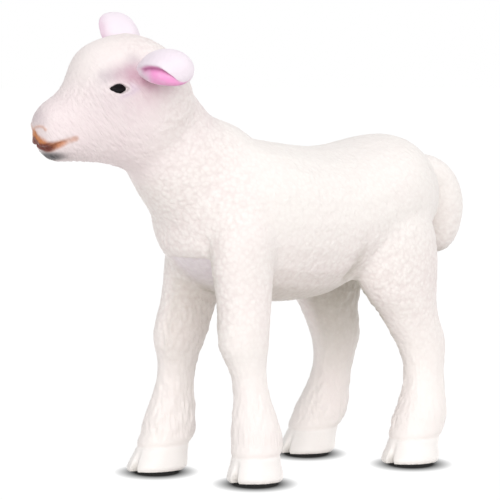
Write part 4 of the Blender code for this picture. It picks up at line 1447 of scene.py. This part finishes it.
def eye_finish():
    """Glossy black paint."""
    made = Finish("eye_gloss")
    made.set("Base Color", made.tint(EYE_BLACK, made.cloud(0.0006, 2), EYE_BLACK_PALER))
    made.set("Roughness", made.cloud(0.0004, 2, 0.10, 0.16))
    made.set("Specular IOR Level", EYE_SPECULAR)
    made.set("Normal", made.bump(made.noise(0.0005, 1), 0.08, 0.00002))
    return made.material


def floor_finish(hooves):
    """A white floor with painted shadows close to the hooves, where its glow fades and its dark camera colour shows.
    """
    made = Finish("pale_floor")
    colour = made.tint(FLOOR, made.cloud(0.03, 2), FLOOR_SHADE)
    made.set("Base Color", made.tint(colour, made.add("LightPath", {}).outputs["Is Camera Ray"], FLOOR_SEEN_IN_PAINTED_SHADOW))
    made.set("Roughness", FLOOR_ROUGHNESS)
    made.set("Specular IOR Level", 0.0)
    turn = math.radians(-CAMERA_AZIMUTH)
    spun = made.add("Mapping", {"Vector": made.place, "Rotation": (0, 0, turn)}).outputs["Vector"]
    # Each hoof's painted shadow is an ellipse that reaches further along the camera's view than across it
    distances = []
    for x, y in hooves:
        across = x * math.cos(turn) - y * math.sin(turn)
        along = x * math.sin(turn) + y * math.cos(turn) - PAINTED_SHADOW_SHIFT
        inputs = {
            "Vector": spun,
            "Location": (-across / PAINTED_SHADOW_HALF_WIDTH, -along / PAINTED_SHADOW_REACH, 0),
            "Scale": (1 / PAINTED_SHADOW_HALF_WIDTH, 1 / PAINTED_SHADOW_REACH, 0),
        }
        from_hoof = made.add("Mapping", inputs).outputs["Vector"]
        distances.append(made.add("VectorMath", {0: from_hoof}, operation="LENGTH").outputs["Value"])
    nearest = distances[0]
    for distance in distances[1:]:
        nearest = made.maths("MINIMUM", nearest, distance)
    glow = made.spread(nearest, *PAINTED_SHADOW_FADE, 0, FLOOR_GLOW)
    made.set("Emission Strength", made.product(made.seen(), glow))
    made.set("Emission Color", (1, 1, 1, 1))
    return made.material


def paint(piece, material):
    """Give a piece its one material."""
    piece.data.materials.clear()
    piece.data.materials.append(material)


def lay_floor(hooves):
    """The floor, a wide disc."""
    shape = bmesh.new()
    bmesh.ops.create_circle(shape, cap_ends=True, segments=FLOOR_SIDES, radius=FLOOR_RADIUS)
    mesh = bpy.data.meshes.new("floor")
    shape.to_mesh(mesh)
    shape.free()
    floor = add_object("floor", mesh)
    paint(floor, floor_finish(hooves))


def set_world():
    """Soft light from all round, and white where the camera looks past the floor."""
    world = bpy.data.worlds.new("studio")
    world.use_nodes = True
    tree = world.node_tree
    background = tree.nodes["Background"]
    made = Nodes(tree)
    strength = made.spread(made.seen(), 0, 1, WORLD_LIGHT, 1.0)
    tree.links.new(strength, background.inputs["Strength"])
    background.inputs["Color"].default_value = (1, 1, 1, 1)
    bpy.context.scene.world = world


def towards(azimuth, elevation):
    """The direction from the lamb to a place at an azimuth, round from its front, and an elevation."""
    turn, tilt = math.radians(azimuth), math.radians(elevation)
    return Vector((math.sin(turn) * math.cos(tilt), -math.cos(turn) * math.cos(tilt), math.sin(tilt)))


def set_lamp(name, azimuth, elevation, level, angle):
    """A soft far lamp, whose level is the share of a full-strength white it gives."""
    lamp = bpy.data.lights.new(name, "SUN")
    lamp.energy = math.pi * level
    lamp.angle = math.radians(angle)
    made = add_object(name, lamp)
    back = towards(azimuth, elevation)
    made.rotation_euler = back.to_track_quat("Z", "Y").to_euler()
    made.location = back * LAMP_DISTANCE


def set_camera():
    """The photograph's view: from the lamb's front left, a little above it, 8 pixels to a millimetre."""
    turn = math.radians(CAMERA_AZIMUTH)
    back = towards(CAMERA_AZIMUTH, CAMERA_ELEVATION)
    right = Vector((math.cos(turn), math.sin(turn), 0))
    target = shift - right * CAMERA_ASIDE + back.cross(right) * CAMERA_RAISED
    camera = bpy.data.cameras.new("camera")
    camera.sensor_width = SENSOR_WIDTH
    camera.lens = PIXELS_PER_METRE * camera.sensor_width * CAMERA_DISTANCE / PICTURE_PIXELS
    camera.clip_start = CAMERA_CLIP_START
    made = add_object("camera", camera)
    made.location = target + back * CAMERA_DISTANCE
    made.rotation_euler = back.to_track_quat("Z", "Y").to_euler()
    bpy.context.scene.camera = made


# The skin, with its relief, cut off at the ground
shift = box_shift()
all_legs = [Leg(*row) for row in LEGS]
forms = [torso_mesh(), neck_mesh(), head_mesh(), *[leg.form() for leg in all_legs]]
whole = refined(formed(joined(forms), FORM_EASING, 1), all_legs)
points, faces = arrays(whole)
points, masks = relief(points, vertex_normals(points, faces), all_legs)
carry(whole, masks)
set_points(whole, split_toes(points, all_legs))
cut_soles(whole)
points, faces = arrays(whole)
masks = carried(whole, masks)
whole.free()
normals = vertex_normals(points, faces)

# The mouldings that it is parted into
middles = points[faces].mean(axis=1)
seam, ahead = neck_seam()
patches = {"head_skin": (middles - np.array(seam)) @ np.array(ahead) > 0}
for leg in all_legs:
    patches[f"{leg.name}_skin"] = in_leg(middles, leg) & ~patches["head_skin"]
rest = np.ones(len(faces), bool)
for name in patches:
    patches[name] = largest_patch(faces, patches[name])
    rest &= ~patches[name]
patches["torso_skin"] = rest
white = vinyl_finish()
for name, chosen in patches.items():
    piece = skin_piece(name, points + np.array(shift), normals, faces[chosen], masks)
    paint(piece, white)
    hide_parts(name.removesuffix("_skin"))
    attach(piece, "root")
tail = tail_form(all_legs, np.array(shift))
paint(tail, white)
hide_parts("tail")
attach(tail, "root")
pink = ear_finish()
for row in EARS:
    ear = Ear(*row)
    leaf = ear_form(ear, np.array(shift))
    paint(leaf, pink)
    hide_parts(ear.name)
    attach(leaf, "root")
black = eye_finish()
for side, node in ((1, "eye_left"), (-1, "eye_right")):
    bead = eye_form(side, shift)
    paint(bead, black)
    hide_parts(node)
    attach(bead, "root")

# The studio
hooves = [(leg.foot() + shift)[:2] for leg in all_legs]
lay_floor(hooves)
set_world()
set_lamp("key_lamp", *KEY_LAMP)
set_lamp("top_lamp", *TOP_LAMP)
set_camera()

bpy.context.scene.view_settings.view_transform = "Standard"
